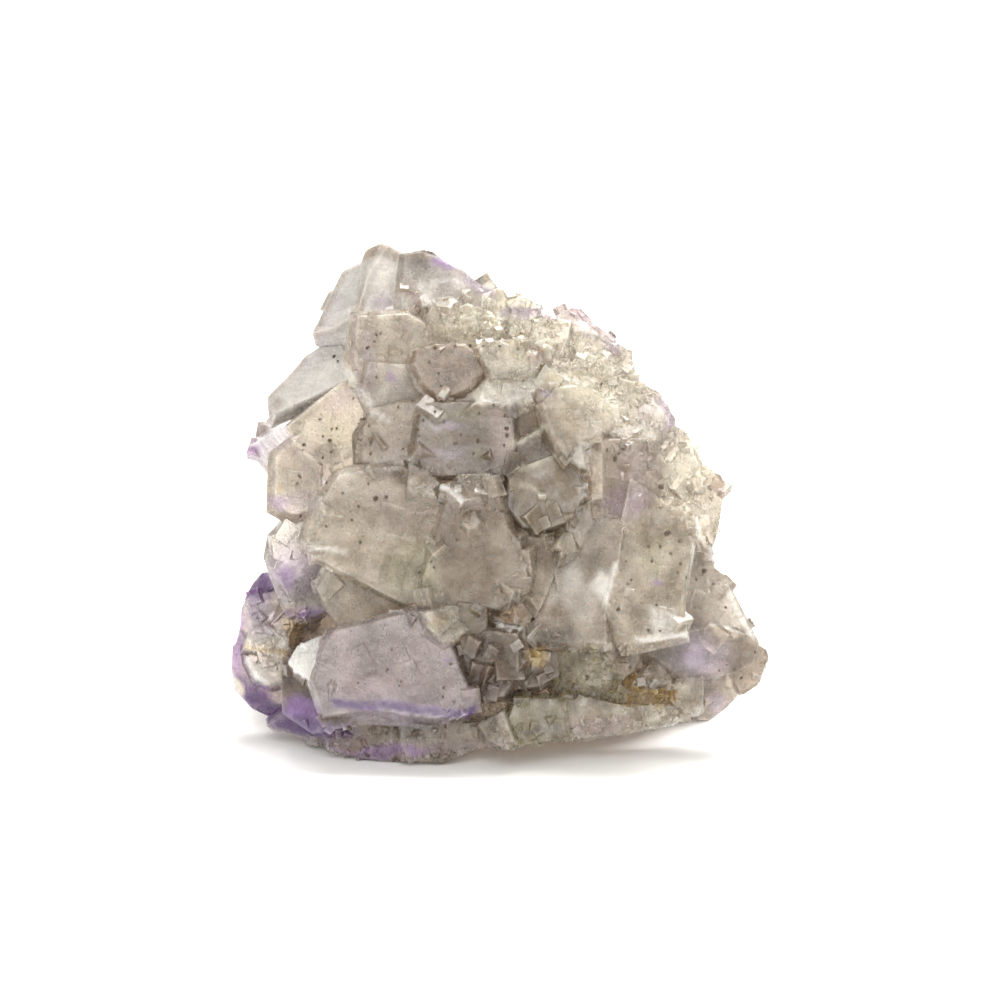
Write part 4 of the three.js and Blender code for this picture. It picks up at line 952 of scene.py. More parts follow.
# Middle (u, v), half width and half height of the zone, cube sizes from and to, how many.
SEAM_ZONES = [
    (-34, 12, 4, 8, 0.8, 2.6, 30), (-28, 11, 4, 5, 0.8, 2.4, 20), (-29, 21, 3, 6, 0.8, 2.0, 6),
    (-18, -2.5, 12, 2, 0.8, 2.2, 24), (-18, -4.6, 12, 1.4, 0.6, 1.7, 70),
    (2, -4.4, 9, 1.2, 0.6, 1.5, 40), (16, -2, 8, 1.2, 0.6, 1.5, 30), (-2, -2, 6, 2, 0.7, 2.0, 16),
    (-1, 8, 3, 6, 1.4, 3.4, 16), (2, 8, 5, 7, 0.8, 2.6, 26), (14, 6, 8, 4.5, 0.8, 2.6, 40),
    (23, 4, 5, 3.5, 0.8, 2.4, 18), (15, -1, 10, 2, 0.7, 2.0, 16), (0, 33, 5, 4, 0.8, 2.6, 18),
    (8, 28, 4, 4, 0.8, 2.4, 18), (3, 20, 4, 5, 0.8, 2.2, 10), (-8, 34, 6, 2.5, 0.7, 2.0, 12),
    (-19, 39, 3, 4, 0.8, 2.2, 10), (-8, 55, 5, 4, 0.8, 2.4, 16), (4, 48, 6, 3, 0.7, 1.8, 12),
    (28, 34, 4, 6, 0.9, 2.8, 20), (20, 46, 5, 5, 0.9, 2.6, 16), (14, 56, 5, 3, 0.9, 2.4, 14),
    (34, 6, 5, 4, 0.9, 2.4, 8),
]
SINK = 0.3
ZONE_SPREAD = 0.6


def seam_cubes(zone):
    """Cubes of one zone, sunk into the skin."""
    u, v, half_u, half_v, smallest, largest, count = zone
    cubes = []
    for _ in range(count):
        found = on_front(dice.gauss(u, half_u * ZONE_SPREAD), dice.gauss(v, half_v * ZONE_SPREAD))
        size = dice.uniform(smallest, largest) * MM
        if found:
            place, normal = found
            shape = squeezed(0.35, 0.5) * size
            cubes.append(copy_of(worn_cube, place - normal * size * SINK, random_turn(), shape))
    return cubes


small_cubes = [cube for zone in SEAM_ZONES for cube in seam_cubes(zone)]
print(len(small_cubes), "small cubes in the seams")

# %% [markdown]
# Where several crystals meet, the corner of a middle-sized cube stands out. Those are listed one
# by one: where each is seen and its size. The back isn't seen, so it gets its small cubes by
# chance: rays are sent inwards from all round, and a cube is set wherever one of them meets the
# skin.

# %% Cubes at the meeting points and at the back
MEETING_CUBES = [
    (-10, 45.3, 4.5), (1.5, 46.8, 4), (4, 50, 4.5), (-6, 54.5, 5), (8, 48, 4), (2, 36.5, 4),
    (-12.2, 37.5, 4.5), (-9.5, 34, 4), (-1.2, 33.5, 4), (12.5, 31.5, 4), (10, 28, 4),
    (3.2, 22.5, 5), (4.6, 27, 4), (-9.5, 24.5, 3.5), (-9.8, 17, 4.5), (-21.5, 36.5, 4.5),
    (-24, 19, 4.5), (-27, 23, 4.5), (-25, 12.5, 4), (-6, 13, 4), (1, 18, 4.5), (6.5, 12, 4),
    (22, 10.3, 4), (27, 14, 4), (32, 13, 4.5), (30, 24, 4.5), (14, 30, 3.5), (-2, 6, 5),
    (-4.2, 3, 4.5), (2.4, 5.4, 5), (8.5, 10, 4.5), (18, 9, 4), (27, 5.6, 4.5), (-31, 27, 4),
    (-32.4, 14.5, 4.5), (-35, 10, 4), (-24, 3.5, 4), (-17.5, 39.5, 4), (-12, 58.5, 4),
    (-4.5, 60, 4), (13, 47.5, 4), (19, 41.5, 5), (24.5, 31, 4.5), (33.5, 19, 4), (-9.5, 12.6, 4),
    (14.5, 41.5, 4), (-26.5, 30, 4.5), (-13, 13.8, 4), (8.5, 20, 4),
]
MEETING_SHARE = 0.85
MEETING_SINK = 0.4
for u, v, size in MEETING_CUBES:
    found = on_front(u, v)
    spin = random_turn()
    shape = squeezed(0.7, 0.6) * size * MEETING_SHARE * MM
    if found:
        place, normal = found
        sunk = place - normal * size * MEETING_SINK * MM
        small_cubes.append(copy_of(worn_cube, sunk, spin, shape))

BACK_CUBES = 220
SIDE_ANGLE = 0.2
RAY_START = 60
RAY_HEIGHTS = (2, 64)
BEHIND = 4 * MM
BACK_SIZES = (1.2, 4.2)
for _ in range(BACK_CUBES):
    angle = dice.uniform(SIDE_ANGLE, math.pi - SIDE_ANGLE)
    height = dice.uniform(*RAY_HEIGHTS)
    start = Vector((RAY_START * math.cos(angle), RAY_START * math.sin(angle), height)) * MM
    place, normal, _, _ = skin.ray_cast(start, Vector((-start.x, -start.y, 0)).normalized())
    if place and place.y > BEHIND:
        size = dice.uniform(*BACK_SIZES) * MM
        shape = squeezed(0.8, 0.8) * size
        sunk = place - normal * size * SINK
        small_cubes.append(copy_of(worn_cube, sunk, random_turn(), shape))
print(len(small_cubes), "small cubes")

# %% [markdown]
# The upper right slope and the lower pocket carry a sugary crust of much smaller grains. They are
# strewn from the list of zones in the same way. A crust follows the rock under it, so each zone is
# a long, turned cloud of places that lies along the slope.

# %% Sugary crust
# Middle (u, v), spread along and across, heading in degrees, sizes from and to, how many.
CRUST_ZONES = [
    (6, 54.5, 8, 2.2, -22, 0.6, 1.6, 180), (17, 48, 6, 2.6, -48, 0.6, 1.6, 180),
    (-3, 57, 4, 2, -10, 0.6, 1.4, 30), (26, 38, 3, 5, 25, 0.6, 1.6, 100),
    (30, 28, 2, 5, 15, 0.6, 1.5, 40), (14, 6.5, 3.4, 2.4, 0, 0.6, 1.5, 60),
    (22, 2.5, 3.4, 1.4, 0, 0.5, 1.2, 30),
]
CRUST_SINK = 0.36


def strew(zones, model, sink):
    """Copies of a grain over the zones, each sunk by a share of its size."""
    grains = []
    for u, v, along, across, heading, smallest, largest, count in zones:
        turn = Matrix.Rotation(math.radians(heading), 2)
        for _ in range(count):
            away = turn @ Vector((dice.gauss(0, along), dice.gauss(0, across)))
            size = dice.uniform(smallest, largest) * MM
            spin = random_turn()
            found = on_front(u + away.x, v + away.y)
            if found:
                sunk = found[0] - found[1] * size * sink
                grains.append(copy_of(model, sunk, spin, (size, size, size)))
    return grains


crust = strew(CRUST_ZONES, worn_cube, CRUST_SINK)
print(len(crust), "grains of crust")

# %% [markdown]
# Now all the small things are joined to the cluster, and everything under the table is cut away
# with a Boolean difference. Between the crystals the union leaves small closed hollows. Nobody
# sees them, but light would, so only the largest connected skin is kept.

# %% One closed solid
TABLE_CUT = 0.2
cluster = join_solids(cluster, terraces + rim_steps + small_cubes + crust)
bpy.ops.object.select_all(action="DESELECT")
bpy.ops.mesh.primitive_cube_add(size=TABLE_CUT, location=(0, 0, -TABLE_CUT / 2))
table_cut = bpy.context.active_object
cluster = join_solids(cluster, [table_cut], "DIFFERENCE")
bpy.data.objects.remove(worn_cube)


def keep_largest_skin(piece):
    """Takes away the hollows that the crystals close off, and leaves the outer skin."""
    shape = bmesh.new()
    shape.from_mesh(piece.data)
    left = set(shape.faces)
    shells = []
    while left:
        shell, edge_of = [], [left.pop()]
        while edge_of:
            face = edge_of.pop()
            shell.append(face)
            for edge in face.edges:
                for near in edge.link_faces:
                    if near in left:
                        left.remove(near)
                        edge_of.append(near)
        shells.append(shell)
    shells.sort(key=len)
    for shell in shells[:-1]:
        bmesh.ops.delete(shape, geom=shell, context="FACES")
    shape.to_mesh(piece.data)
    shape.free()
    return len(shells) - 1


hollows = keep_largest_skin(cluster)
print("closed hollows filled:", hollows, "- faces:", len(cluster.data.polygons))

# %% [markdown]
# Big flat faces have corners only at their rims, so nothing finer can be shaped or coloured on
# them. Edges are halved until hardly any is longer than a limit, which is small on the front,
# where the photograph shows the detail, and larger at the back. A clouds texture then ripples the
# skin a little.

# %% A finer skin
FRONT_EDGE = 0.85 * MM
BACK_EDGE = 2.4 * MM
TABLE_EDGE = 6 * MM
THIN_SHARE = 0.2
MOST_TRIANGLES = 195000
RIPPLE_DEPTH = 0.22 * MM
RIPPLE_SIZE = 3.2 * MM
ON_TABLE = 0.1 * MM
FACING = 0.05


def edge_limit(edge):
    """The longest that an edge may be: short where the skin faces the eye, longer elsewhere."""
    a, b = (vert.co for vert in edge.verts)
    if a.z < ON_TABLE and b.z < ON_TABLE:
        return TABLE_EDGE
    on_front_half = (a - ORIGIN_SHIFT * MM).dot(TOWARDS) > 0
    if on_front_half and any(face.normal.dot(TOWARDS) > FACING for face in edge.link_faces):
        return FRONT_EDGE
    return BACK_EDGE


def refine(piece, passes=5):
    """Halves long edges in edit mode, pass by pass, and turns the edges of thin triangles."""
    only(piece)
    bpy.ops.object.mode_set(mode="EDIT")
    bpy.ops.mesh.select_mode(type="EDGE")
    for _ in range(passes):
        bpy.ops.mesh.select_all(action="SELECT")
        bpy.ops.mesh.quads_convert_to_tris()
        bpy.ops.mesh.beautify_fill(angle_limit=math.radians(1))
        bpy.ops.mesh.select_all(action="DESELECT")
        cage = bmesh.from_edit_mesh(piece.data)
        for edge in cage.edges:
            length = edge.calc_length()
            if length > FRONT_EDGE:
                limit = edge_limit(edge)
                widest = max(face.calc_area() for face in edge.link_faces)
                if length > limit and widest > THIN_SHARE * limit * limit:
                    edge.select_set(True)
        bpy.ops.mesh.subdivide(number_cuts=1)
    bpy.ops.mesh.select_all(action="SELECT")
    bpy.ops.mesh.quads_convert_to_tris()
    bpy.ops.mesh.select_mode(type="VERT")
    bpy.ops.object.mode_set(mode="OBJECT")
    if len(piece.data.polygons) > MOST_TRIANGLES:
        thin = piece.modifiers.new("thin", "DECIMATE")
        thin.ratio = MOST_TRIANGLES / len(piece.data.polygons)
        bpy.ops.object.modifier_apply(modifier="thin")


def ripple(piece, depth, size):
    """Moves the skin in and out by a clouds texture, as growth leaves it."""
    clouds = bpy.data.textures.new("growth_ripples", "CLOUDS")
    clouds.noise_scale = size
    clouds.noise_depth = 2
    waves = piece.modifiers.new("ripples", "DISPLACE")
    waves.texture = clouds
    waves.texture_coords = "LOCAL"
    waves.strength = depth
    waves.mid_level = 0.5
    only(piece)
    bpy.ops.object.modifier_apply(modifier="ripples")
    bpy.data.textures.remove(clouds)


refine(cluster)
print("triangles after refining:", len(cluster.data.polygons))
ripple(cluster, RIPPLE_DEPTH, RIPPLE_SIZE)

# %% [markdown]
# The ripples have also moved the underside, so it is pressed flat on the table again. Edges that
# turn by more than a limit stay sharp, and the rest are shaded smoothly. The piece then takes the
# place of the plain solid that was drawn for measuring.

# %% Flat underside and shading
PRESSED = 0.15 * MM
SHARP_ANGLE = 22
bpy.ops.object.mode_set(mode="EDIT")
cage = bmesh.from_edit_mesh(cluster.data)
pressed = [vert for vert in cage.verts if vert.co.z < PRESSED]
for vert in pressed:
    vert.co.z = 0
bmesh.update_edit_mesh(cluster.data)
bpy.ops.object.mode_set(mode="OBJECT")
bpy.ops.object.shade_smooth_by_angle(angle=math.radians(SHARP_ANGLE))
print("the underside is flat")
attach(cluster, "root")
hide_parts("fluorite_cluster")

# %% [markdown]
# A material is a net of nodes. Three small helpers keep the cells that build one short: one adds a
# node and fills or links its inputs, one mixes two colours, and one takes a value from one range
# to another. Inputs are found by name, so each line says what it sets.

# %% Nodes by name
def node(tree, kind, inputs=None, **settings):
    """Adds a node, sets its settings, and sets or links its inputs."""
    made = tree.nodes.new(kind)
    for name, value in settings.items():
        setattr(made, name, value)
    for name, value in (inputs or {}).items():
        if isinstance(value, bpy.types.NodeSocket):
            tree.links.new(value, made.inputs[name])
        else:
            made.inputs[name].default_value = value
    return made


def mix_colour(tree, factor, first, second):
    """Colour that goes from first to second."""
    mix = node(tree, "ShaderNodeMix", data_type="RGBA")
    for name, value in (("Factor_Float", factor), ("A_Color", first), ("B_Color", second)):
        socket = next(s for s in mix.inputs if s.identifier == name)
        if isinstance(value, bpy.types.NodeSocket):
            tree.links.new(value, socket)
        else:
            socket.default_value = value
    return next(s for s in mix.outputs if s.identifier == "Result_Color")


def map_range(tree, value, low, high, to_low=0.0, to_high=1.0):
    """A value taken from one range to another, smoothly."""
    inputs = {"Value": value, "From Min": low, "From Max": high,
              "To Min": to_low, "To Max": to_high}
    made = node(tree, "ShaderNodeMapRange", inputs, interpolation_type="SMOOTHSTEP")
    return made.outputs["Result"]


print("helpers for nodes are ready")

# %% [markdown]
# The palette has a name for each tone of the stone, from clear glass to dark ore, as linear red,
# green and blue. Each crystal first gets its own tone. Some tones are also clearer or milkier than
# the rest, so a second table says how much of the light goes through them.

# %% The palette
COLOURS = {
    "glass": (0.50, 0.485, 0.46), "frost": (0.74, 0.72, 0.69), "linen": (0.66, 0.62, 0.53),
    "fawn": (0.52, 0.46, 0.37), "clay": (0.36, 0.28, 0.22), "smoke": (0.25, 0.20, 0.155),
    "ivory": (0.80, 0.78, 0.68), "pale": (0.62, 0.58, 0.53), "beige": (0.50, 0.45, 0.39),
    "brownish": (0.38, 0.32, 0.26), "shadow": (0.14, 0.10, 0.07), "lilac": (0.52, 0.45, 0.53),
    "purple": (0.27, 0.15, 0.38), "deep purple": (0.07, 0.02, 0.13), "cream": (0.78, 0.74, 0.60),
    "gold": (0.56, 0.41, 0.19), "olive": (0.30, 0.26, 0.15), "brown": (0.24, 0.18, 0.12),
    "dark": (0.035, 0.025, 0.018), "white": (0.86, 0.85, 0.82), "rose": (0.58, 0.46, 0.43),
    "green": (0.55, 0.54, 0.36), "bone": (0.70, 0.67, 0.60), "sand": (0.60, 0.54, 0.45),
    "taupe": (0.44, 0.38, 0.31), "umber": (0.30, 0.24, 0.18), "heather": (0.42, 0.357, 0.36),
    "mauve": (0.46, 0.37, 0.40), "earth": (0.18, 0.13, 0.10),
}
CLARITY = {"glass": 0.3, "frost": 0.3, "bone": 0.6, "olive": 0.75, "white": 0.4, "cream": 0.4,
           "shadow": 0.3, "earth": 0.65, "smoke": 0.65, "brown": 0.65}
USUAL_CLARITY = 0.72
# The share of its clarity that a spot or streak takes from the crystal.
CLOUDING = {"deep purple": 0.6, "purple": 0.4, "dark": 0.6, "white": 0.4}
print(len(COLOURS), "tones in the palette")

# %% [markdown]
# Fluorite is zoned: purple, cream and brown grew one after another, so the colour of one crystal
# changes over its face. That is laid on as it is seen, with soft spots at places in millimetres.
# Each is a squeezed and turned ball of colour. Brown and dark spots in the crevices and pockets are
# partly the stone's own colour and partly painted shade.

# %% Colour spots of the front
# Middle (u, v), half width, half height, turn in degrees, tone and strength.
SPOTS = [
    (-35, 41.2, 3.6, 3, 25, "lilac", 0.5), (8, 31.5, 7, 8, 0, "olive", 0.5),
    (-13.7, 62.5, 1.6, 1.2, 0, "taupe", 0.9), (8, 32, 6.5, 7.5, 0, "earth", 0.55),
    (-37, 3, 3.5, 4, 0, "deep purple", 0.85), (-32, -0.5, 6, 2.6, -8, "deep purple", 0.95),
    (-24.5, -2, 6, 1.8, 0, "deep purple", 0.8), (-14.5, -4.6, 5, 1.2, 0, "deep purple", 0.7),
    (-35.2, 17, 1.8, 5, -15, "deep purple", 0.8), (-37.5, 38.2, 3, 3, 0, "purple", 0.6),
    (-27.5, 55, 3, 9, -35, "lilac", 0.25), (-11, 33, 14, 9, 0, "mauve", 0.18),
    (10, 52, 22, 7, -38, "cream", 0.9), (27, 36, 6, 8, -60, "cream", 0.8),
    (-4, 57, 6, 3.5, 0, "cream", 0.7), (11, 43.5, 6, 5, 0, "cream", 0.25),
    (-4.5, 40.4, 5.5, 1.3, 0, "brown", 1.0), (-3, 38, 2, 1.8, 0, "olive", 0.8),
    (-5.5, 43.8, 5, 1.5, 0, "green", 0.3), (-7.5, 42, 3.4, 0.9, 0, "lilac", 0.9),
    (-7.3, 38.2, 3.2, 1.5, 0, "lilac", 0.6), (0.2, 40.5, 2.4, 6, 0, "rose", 0.5),
    (5.5, 34, 5, 6, 0, "olive", 0.4), (5.5, 33.5, 4, 5, 0, "earth", 0.6),
    (5, 41, 4, 4, -35, "brown", 0.6), (0.9, 33, 1.6, 2.6, 0, "brown", 0.7),
    (2.2, 28, 1.4, 3.4, -10, "brown", 0.7), (-13.9, 35, 1.6, 2.4, 0, "brown", 0.9),
    (-8, 34.3, 3, 1.3, 10, "brown", 0.8), (-18, 39.5, 2.4, 2.2, 0, "brown", 0.7),
    (-7, 50, 5.5, 4, 0, "brown", 0.35), (5.6, 52, 2, 2.4, 0, "rose", 0.7),
    (-17, 60, 2, 2, 0, "lilac", 0.7), (-15.5, 49.3, 0.9, 0.9, 0, "purple", 0.7),
    (-19, 52, 1.4, 6, 5, "lilac", 0.5), (-8.5, 66, 3.4, 1.2, -10, "lilac", 1.0),
    (-2.8, 62.6, 3.4, 1.0, -38, "lilac", 1.0), (-12.6, 61.5, 1.4, 3, 0, "rose", 0.5),
    (4.5, 58.6, 4.4, 0.8, 0, "lilac", 0.7), (16.5, 53.5, 2.2, 1.6, -40, "lilac", 0.7),
    (7.2, 46.6, 1.2, 1.2, 0, "lilac", 0.8), (-36, 39.5, 2.6, 1.8, 30, "purple", 0.6),
    (-34, 41, 4, 1.0, 22, "lilac", 0.9), (-23, 46, 3.6, 2.4, 40, "lilac", 0.5),
    (-23.5, 41, 3, 3, 0, "green", 0.35), (-31.5, 31, 2.2, 1.6, 0, "purple", 0.6),
    (-29, 31, 4, 2.6, 0, "lilac", 0.5), (-33.8, 31.2, 0.8, 1.4, 0, "dark", 0.8),
    (-30, 21, 5, 6, 10, "lilac", 0.9), (-31, 20, 1.8, 3, 15, "purple", 0.6),
    (-28, 14.8, 4, 1.0, 0, "purple", 0.8), (-12.5, 21.5, 6, 6, 0, "green", 0.45),
    (-20, 18.5, 6, 2.4, -15, "brown", 0.35), (-5, 22, 5, 6, 0, "brown", 0.3),
    (18.5, 31, 5, 3, 0, "purple", 0.35), (20, 35.5, 5.5, 6, 0, "mauve", 0.45),
    (18.6, 36.2, 1.8, 1.2, 0, "brown", 0.6), (22, 24, 4, 4, 0, "green", 0.35),
    (22, 26.5, 2.4, 2.4, 0, "brown", 0.35), (23.5, 14, 3.2, 3, 0, "white", 0.7),
    (11, 18, 3, 6, 20, "white", 0.4), (22.7, 19.8, 0.9, 0.9, 0, "purple", 0.6),
    (28.5, 8.3, 2.6, 2.4, 0, "purple", 0.95), (29, 8.5, 6, 5, 0, "lilac", 0.9),
    (31.8, 1.8, 2.4, 2, 0, "lilac", 0.9), (-34.8, 18, 3.2, 3, 40, "deep purple", 0.75),
    (-35, 14, 4, 4, 0, "lilac", 0.8), (-38.2, 14, 1.1, 4, 0, "purple", 0.9),
    (-30, 13, 1.8, 3.6, 0, "gold", 0.6), (-26.8, 13, 2.2, 1.8, 0, "brown", 0.8),
    (-35, 3, 1.2, 1, 0, "purple", 0.8), (-37.6, 2, 1.4, 1.2, 0, "deep purple", 0.8),
    (-28.5, 0.5, 4, 3, -30, "purple", 0.9), (-28.5, -1.4, 4.4, 2, -8, "deep purple", 1.0),
    (-35.6, 1.6, 4.4, 2.4, -28, "deep purple", 0.8), (-14, 1.4, 11.5, 1.1, -5, "purple", 0.8),
    (-15, 3.6, 12, 3, -4, "mauve", 0.7), (-15, 0, 10, 1.8, -3, "lilac", 0.8),
    (-7.5, 8.2, 0.9, 1.2, 0, "purple", 0.6), (-30, -2, 6, 1.4, -8, "deep purple", 0.9),
    (-20, -5.6, 6, 1.2, -5, "purple", 0.7), (-12.5, -2, 5, 2, 0, "dark", 0.7),
    (-4, -1, 2, 1.4, 0, "dark", 0.7), (-22, -4, 3, 1.6, 0, "gold", 0.6),
    (-10, -4.4, 8, 2, 0, "mauve", 0.4), (-8.5, 14, 1.6, 1.4, 0, "gold", 0.5),
    (-4.4, 14, 1.2, 2.2, 0, "olive", 0.9), (-0.6, 14.4, 1.3, 2.2, 0, "dark", 0.9),
    (5.5, 8.6, 2, 2, 0, "gold", 0.8), (3.2, 11, 1, 1.2, 0, "dark", 0.9),
    (1.8, 2.8, 1.4, 2, 0, "dark", 0.8), (1, 9, 4, 6, 0, "brown", 0.5),
    (13.5, 6.5, 4.2, 3.6, 0, "cream", 0.8), (13.7, 9.6, 1.6, 1, 0, "olive", 0.9),
    (23, 2.6, 4, 1.6, 0, "gold", 0.8), (23, 4.4, 3.4, 0.9, 0, "dark", 0.7),
    (6, -2, 3, 0.7, 5, "brown", 0.8), (14.6, 19, 1.8, 3, -20, "white", 0.9),
    (-25, -3.4, 8, 2.2, -8, "deep purple", 0.6), (-14, -5, 7, 1.4, 0, "purple", 0.5),
    (-4, -4.6, 7, 2, 0, "mauve", 0.4), (-38.4, 9, 1.6, 5, 0, "purple", 0.7),
    (14, -1.4, 8, 1.6, 6, "mauve", 0.5),
]
print(len(SPOTS), "spots of colour")

# %% [markdown]
# Cracks, growth lines and the purple line low on the front crystal are long and thin. So are the
# smoky lines of painted shade along the upper rims and the dark lines of painted shade in the
# crevices. They are laid on as soft lines from corner to corner, and a little noise keeps them from
# being ruled straight.

# %% Colour lines of the front
# Corners (u, v) of the line, half its width, tone, strength.
STREAKS = [
    ([-23.5, 2, -19.5, 1.8, -16.5, 1.9, -13, 1.4, -10, 0.7, -5, 0.6, -3.7, 1.2], 1.0,
     "deep purple", 1.0),
    ([-10.2, 60, -10.2, 62, -9.5, 63.2, -7, 63.6, -5.5, 63], 0.6, "white", 0.6),
    ([-11.4, 63, -10.8, 60], 0.6, "white", 0.5), ([-13.6, 61.2, -11.6, 61.2], 0.5, "rose", 0.6),
    ([-4.6, 64, -1, 61.3], 0.9, "lilac", 0.9), ([-9.3, 66.2, -8, 66.2], 0.9, "purple", 0.6),
    ([-7.5, 65.6, -6, 65.6], 0.9, "purple", 0.6),
    ([0.8, 58.5, 2, 58.8, 5.5, 58.7, 8.5, 57.9], 0.8, "lilac", 0.9),
    ([11.5, 57, 14, 55.5], 0.7, "white", 0.8),
    ([-20.6, 57.6, -21.4, 52, -19.4, 46], 0.5, "mauve", 0.6),
    # Smoky lines along the ridge and the upper rims of the clear crystals are painted shade,
    # darkening rims that the light from above strikes.
    ([-18.9, 68, -18.8, 65.5, -20.3, 60.5, -21, 58.4], 1.2, "smoke", 0.35),
    ([-21, 58.4, -24, 56.7, -27.5, 55.8], 1.2, "smoke", 0.3),
    ([-27.5, 55.8, -25, 61.2, -22.7, 66, -19, 68.3], 1.2, "smoke", 0.5),
    ([-19.5, 68.4, -17, 69.4, -13, 67.6], 3.0, "smoke", 0.75),
    ([-12, 67.2, -9, 67.6], 1.4, "smoke", 0.5),
    ([-28.5, 52.8, -31, 49.9, -34.3, 46.6, -34.6, 45], 1.2, "smoke", 0.5),
    ([-20.2, 60.4, -20.9, 59], 0.6, "brown", 0.5), ([2.4, 41, 2.4, 45], 0.7, "dark", 0.8),
    ([2.3, 39.2, 4, 40.3, 6.8, 42], 0.6, "cream", 0.8),
    ([3, 35.6, 5, 36.4, 8, 37.7], 0.6, "cream", 0.3),
    # Smoky line along the upper rim of the cube with the tip: painted shade.
    ([-38.4, 39.4, -34.6, 43.2, -32.4, 45.6], 1.2, "smoke", 0.5),
    ([3, 33.6, 5, 33, 6.5, 31.5], 0.5, "cream", 0.3),
    ([-8.5, 33.3, -6.3, 32.6, -5.2, 31.1], 0.6, "white", 0.9),
    # Two dark lines in the crevice beside the dark block: painted shade.
    ([-0.2, 35, 0.9, 33, 2, 31], 1.0, "dark", 0.5),
    ([1.2, 31, 2.2, 28, 3, 25.3], 0.9, "dark", 0.5),
    ([-22, 50, -18, 44, -16, 43], 0.8, "white", 0.5),
    ([-37.4, 39.4, -31.3, 41.8], 0.6, "lilac", 0.9), ([-32, 33.6, -32, 32.4], 0.5, "gold", 0.7),
    ([-31, 14.6, -28, 14.3, -25, 14.5], 0.8, "deep purple", 0.7),
    ([-27, 24.7, -22.2, 23.8], 0.6, "white", 0.7),
    ([-33, 12.2, -31.5, 11, -31, 9.6], 0.6, "white", 0.8),
    ([-36.8, 8, -35.3, 5.3, -34, 4.3], 0.6, "white", 0.8),
    ([-37, 9.8, -34.5, 9.2, -31, 9], 0.5, "gold", 0.8),
    ([-38.6, 4.6, -37.8, 3], 0.7, "cream", 0.8),
    ([-0.2, 13.9, 0.8, 13, 1.8, 12.9], 0.45, "white", 0.9),
    ([2.2, 13, 2.8, 14.5], 0.45, "white", 0.9), ([3, 12.8, 4.3, 14], 0.45, "white", 0.9),
    ([3.5, -2.2, 8.5, -1.8], 0.6, "dark", 0.8), ([20, 11.2, 27, 12], 0.6, "white", 0.8),
    ([15.2, 16.5, 16.8, 22], 0.6, "white", 0.8),
    ([33.5, 17.5, 35, 14.5, 37, 11.5], 0.6, "white", 0.8), ([29, 29, 29, 26], 0.6, "white", 0.7),
]
print(len(STREAKS), "lines of colour")

# %% [markdown]
# Painting needs to know, for every corner of the skin, where it is seen and how far it is from a
# face or a line. Whole rows of corners are reckoned at once with arrays, which takes a moment
# where a loop over two hundred thousand corners would take minutes.

# %% Measuring the skin
def table_of(items, name, width, kind=np.float32):
    """One value of every item of a mesh, such as a place or a direction, as rows of an array."""
    values = np.empty(len(items) * width, kind)
    items.foreach_get(name, values)
    return values.reshape(-1, width)


def seen_table(piece):
    """Every corner of a piece as a row of u, v and depth, in millimetres."""
    places = table_of(piece.data.vertices, "co", 3) / MM - np.array(ORIGIN_SHIFT)
    return places @ np.array(FRONT)


def outline_mask(points, outline):
    """Which of the flat points lie inside an outline."""
    mask = np.zeros(len(points), bool)
    for a, b in sides_of(outline):
        if a.y == b.y:
            continue
        between = (a.y > points[:, 1]) != (b.y > points[:, 1])
        crossing = (b.x - a.x) * (points[:, 1] - a.y) / (b.y - a.y) + a.x
        mask ^= between & (points[:, 0] < crossing)
    return mask


def soft(values, low, high):
    """A smooth step from 0 at low to 1 at high."""
    t = np.clip((values - low) / (high - low), 0, 1)
    return t * t * (3 - 2 * t)


def noise_row(points, scale, seed):
    """One smooth noise value, from -1 to 1, for every point."""
    shift = Vector((seed, 2 * seed, 3 * seed))
    return np.array([noise.noise(Vector(p) * scale + shift) for p in points.tolist()])


def away_from_line(points, a, b):
    """How far flat points are from the line between two corners."""
    line = np.array((b[0] - a[0], b[1] - a[1]))
    off = points[:, :2] - np.array((a[0], a[1]))
    share = np.clip(off @ line / max(line @ line, 1e-9), 0, 1)
    return np.hypot(*(off - share[:, None] * line).T)


def blend(colour, factor, tone):
    """The colours moved towards a tone by a factor from 0 to 1 for each."""
    return colour * (1 - factor[:, None]) + np.array(COLOURS[tone]) * factor[:, None]


print("the palest tone laid on is", max(COLOURS, key=lambda tone: sum(COLOURS[tone])))

# %% [markdown]
# The skin is painted in layers, and the order matters: cloudy beige all over, then the tone of the
# crystal that each corner belongs to, then cloudy changes of tone and brown painted shade where the
# skin lies deep, then the spots and lines, and last a painted pale glow at the rims, where light
# comes out of a real crystal.

# %% Painting in layers
# Scale and seed of the noises, and how much each darkens or lightens.
CLOUDS, FINE_CLOUDS, WANDERING = (0.11, 3.0), (0.4, 9.0), (0.4, 21.0)
CLOUD_SHADE, FINE_SHADE = 0.12, 0.10
FINE_SHARE = 0.4
PALE_CLOUDS = (-0.2, 0.6)
# A corner belongs to a face from NEAR_FACE on top of it to DEEP_FACE away, in millimetres. Beside
# the outline it costs more than above it.
NEAR_FACE, DEEP_FACE = 0.7, 8.0
FACE_MARGIN = 4
BESIDE_PRICE = 2
# Brown laid on where the skin lies deep below its face is painted shade.
DEEP_SHADE = 0.2
# Spots and lines fade from here, where the skin turns away from the eye, and softly at their edge.
FRONT_FADE = (-0.3, 0.0)
SOFT_EDGE = (0, 0.6)
LINE_WANDER = 0.25
# Strength and width in millimetres of the painted highlight, a pale glow at the rims.
PAINTED_RIM_GLOWS = [(0.07, 0.6), (0.06, 2.5)]


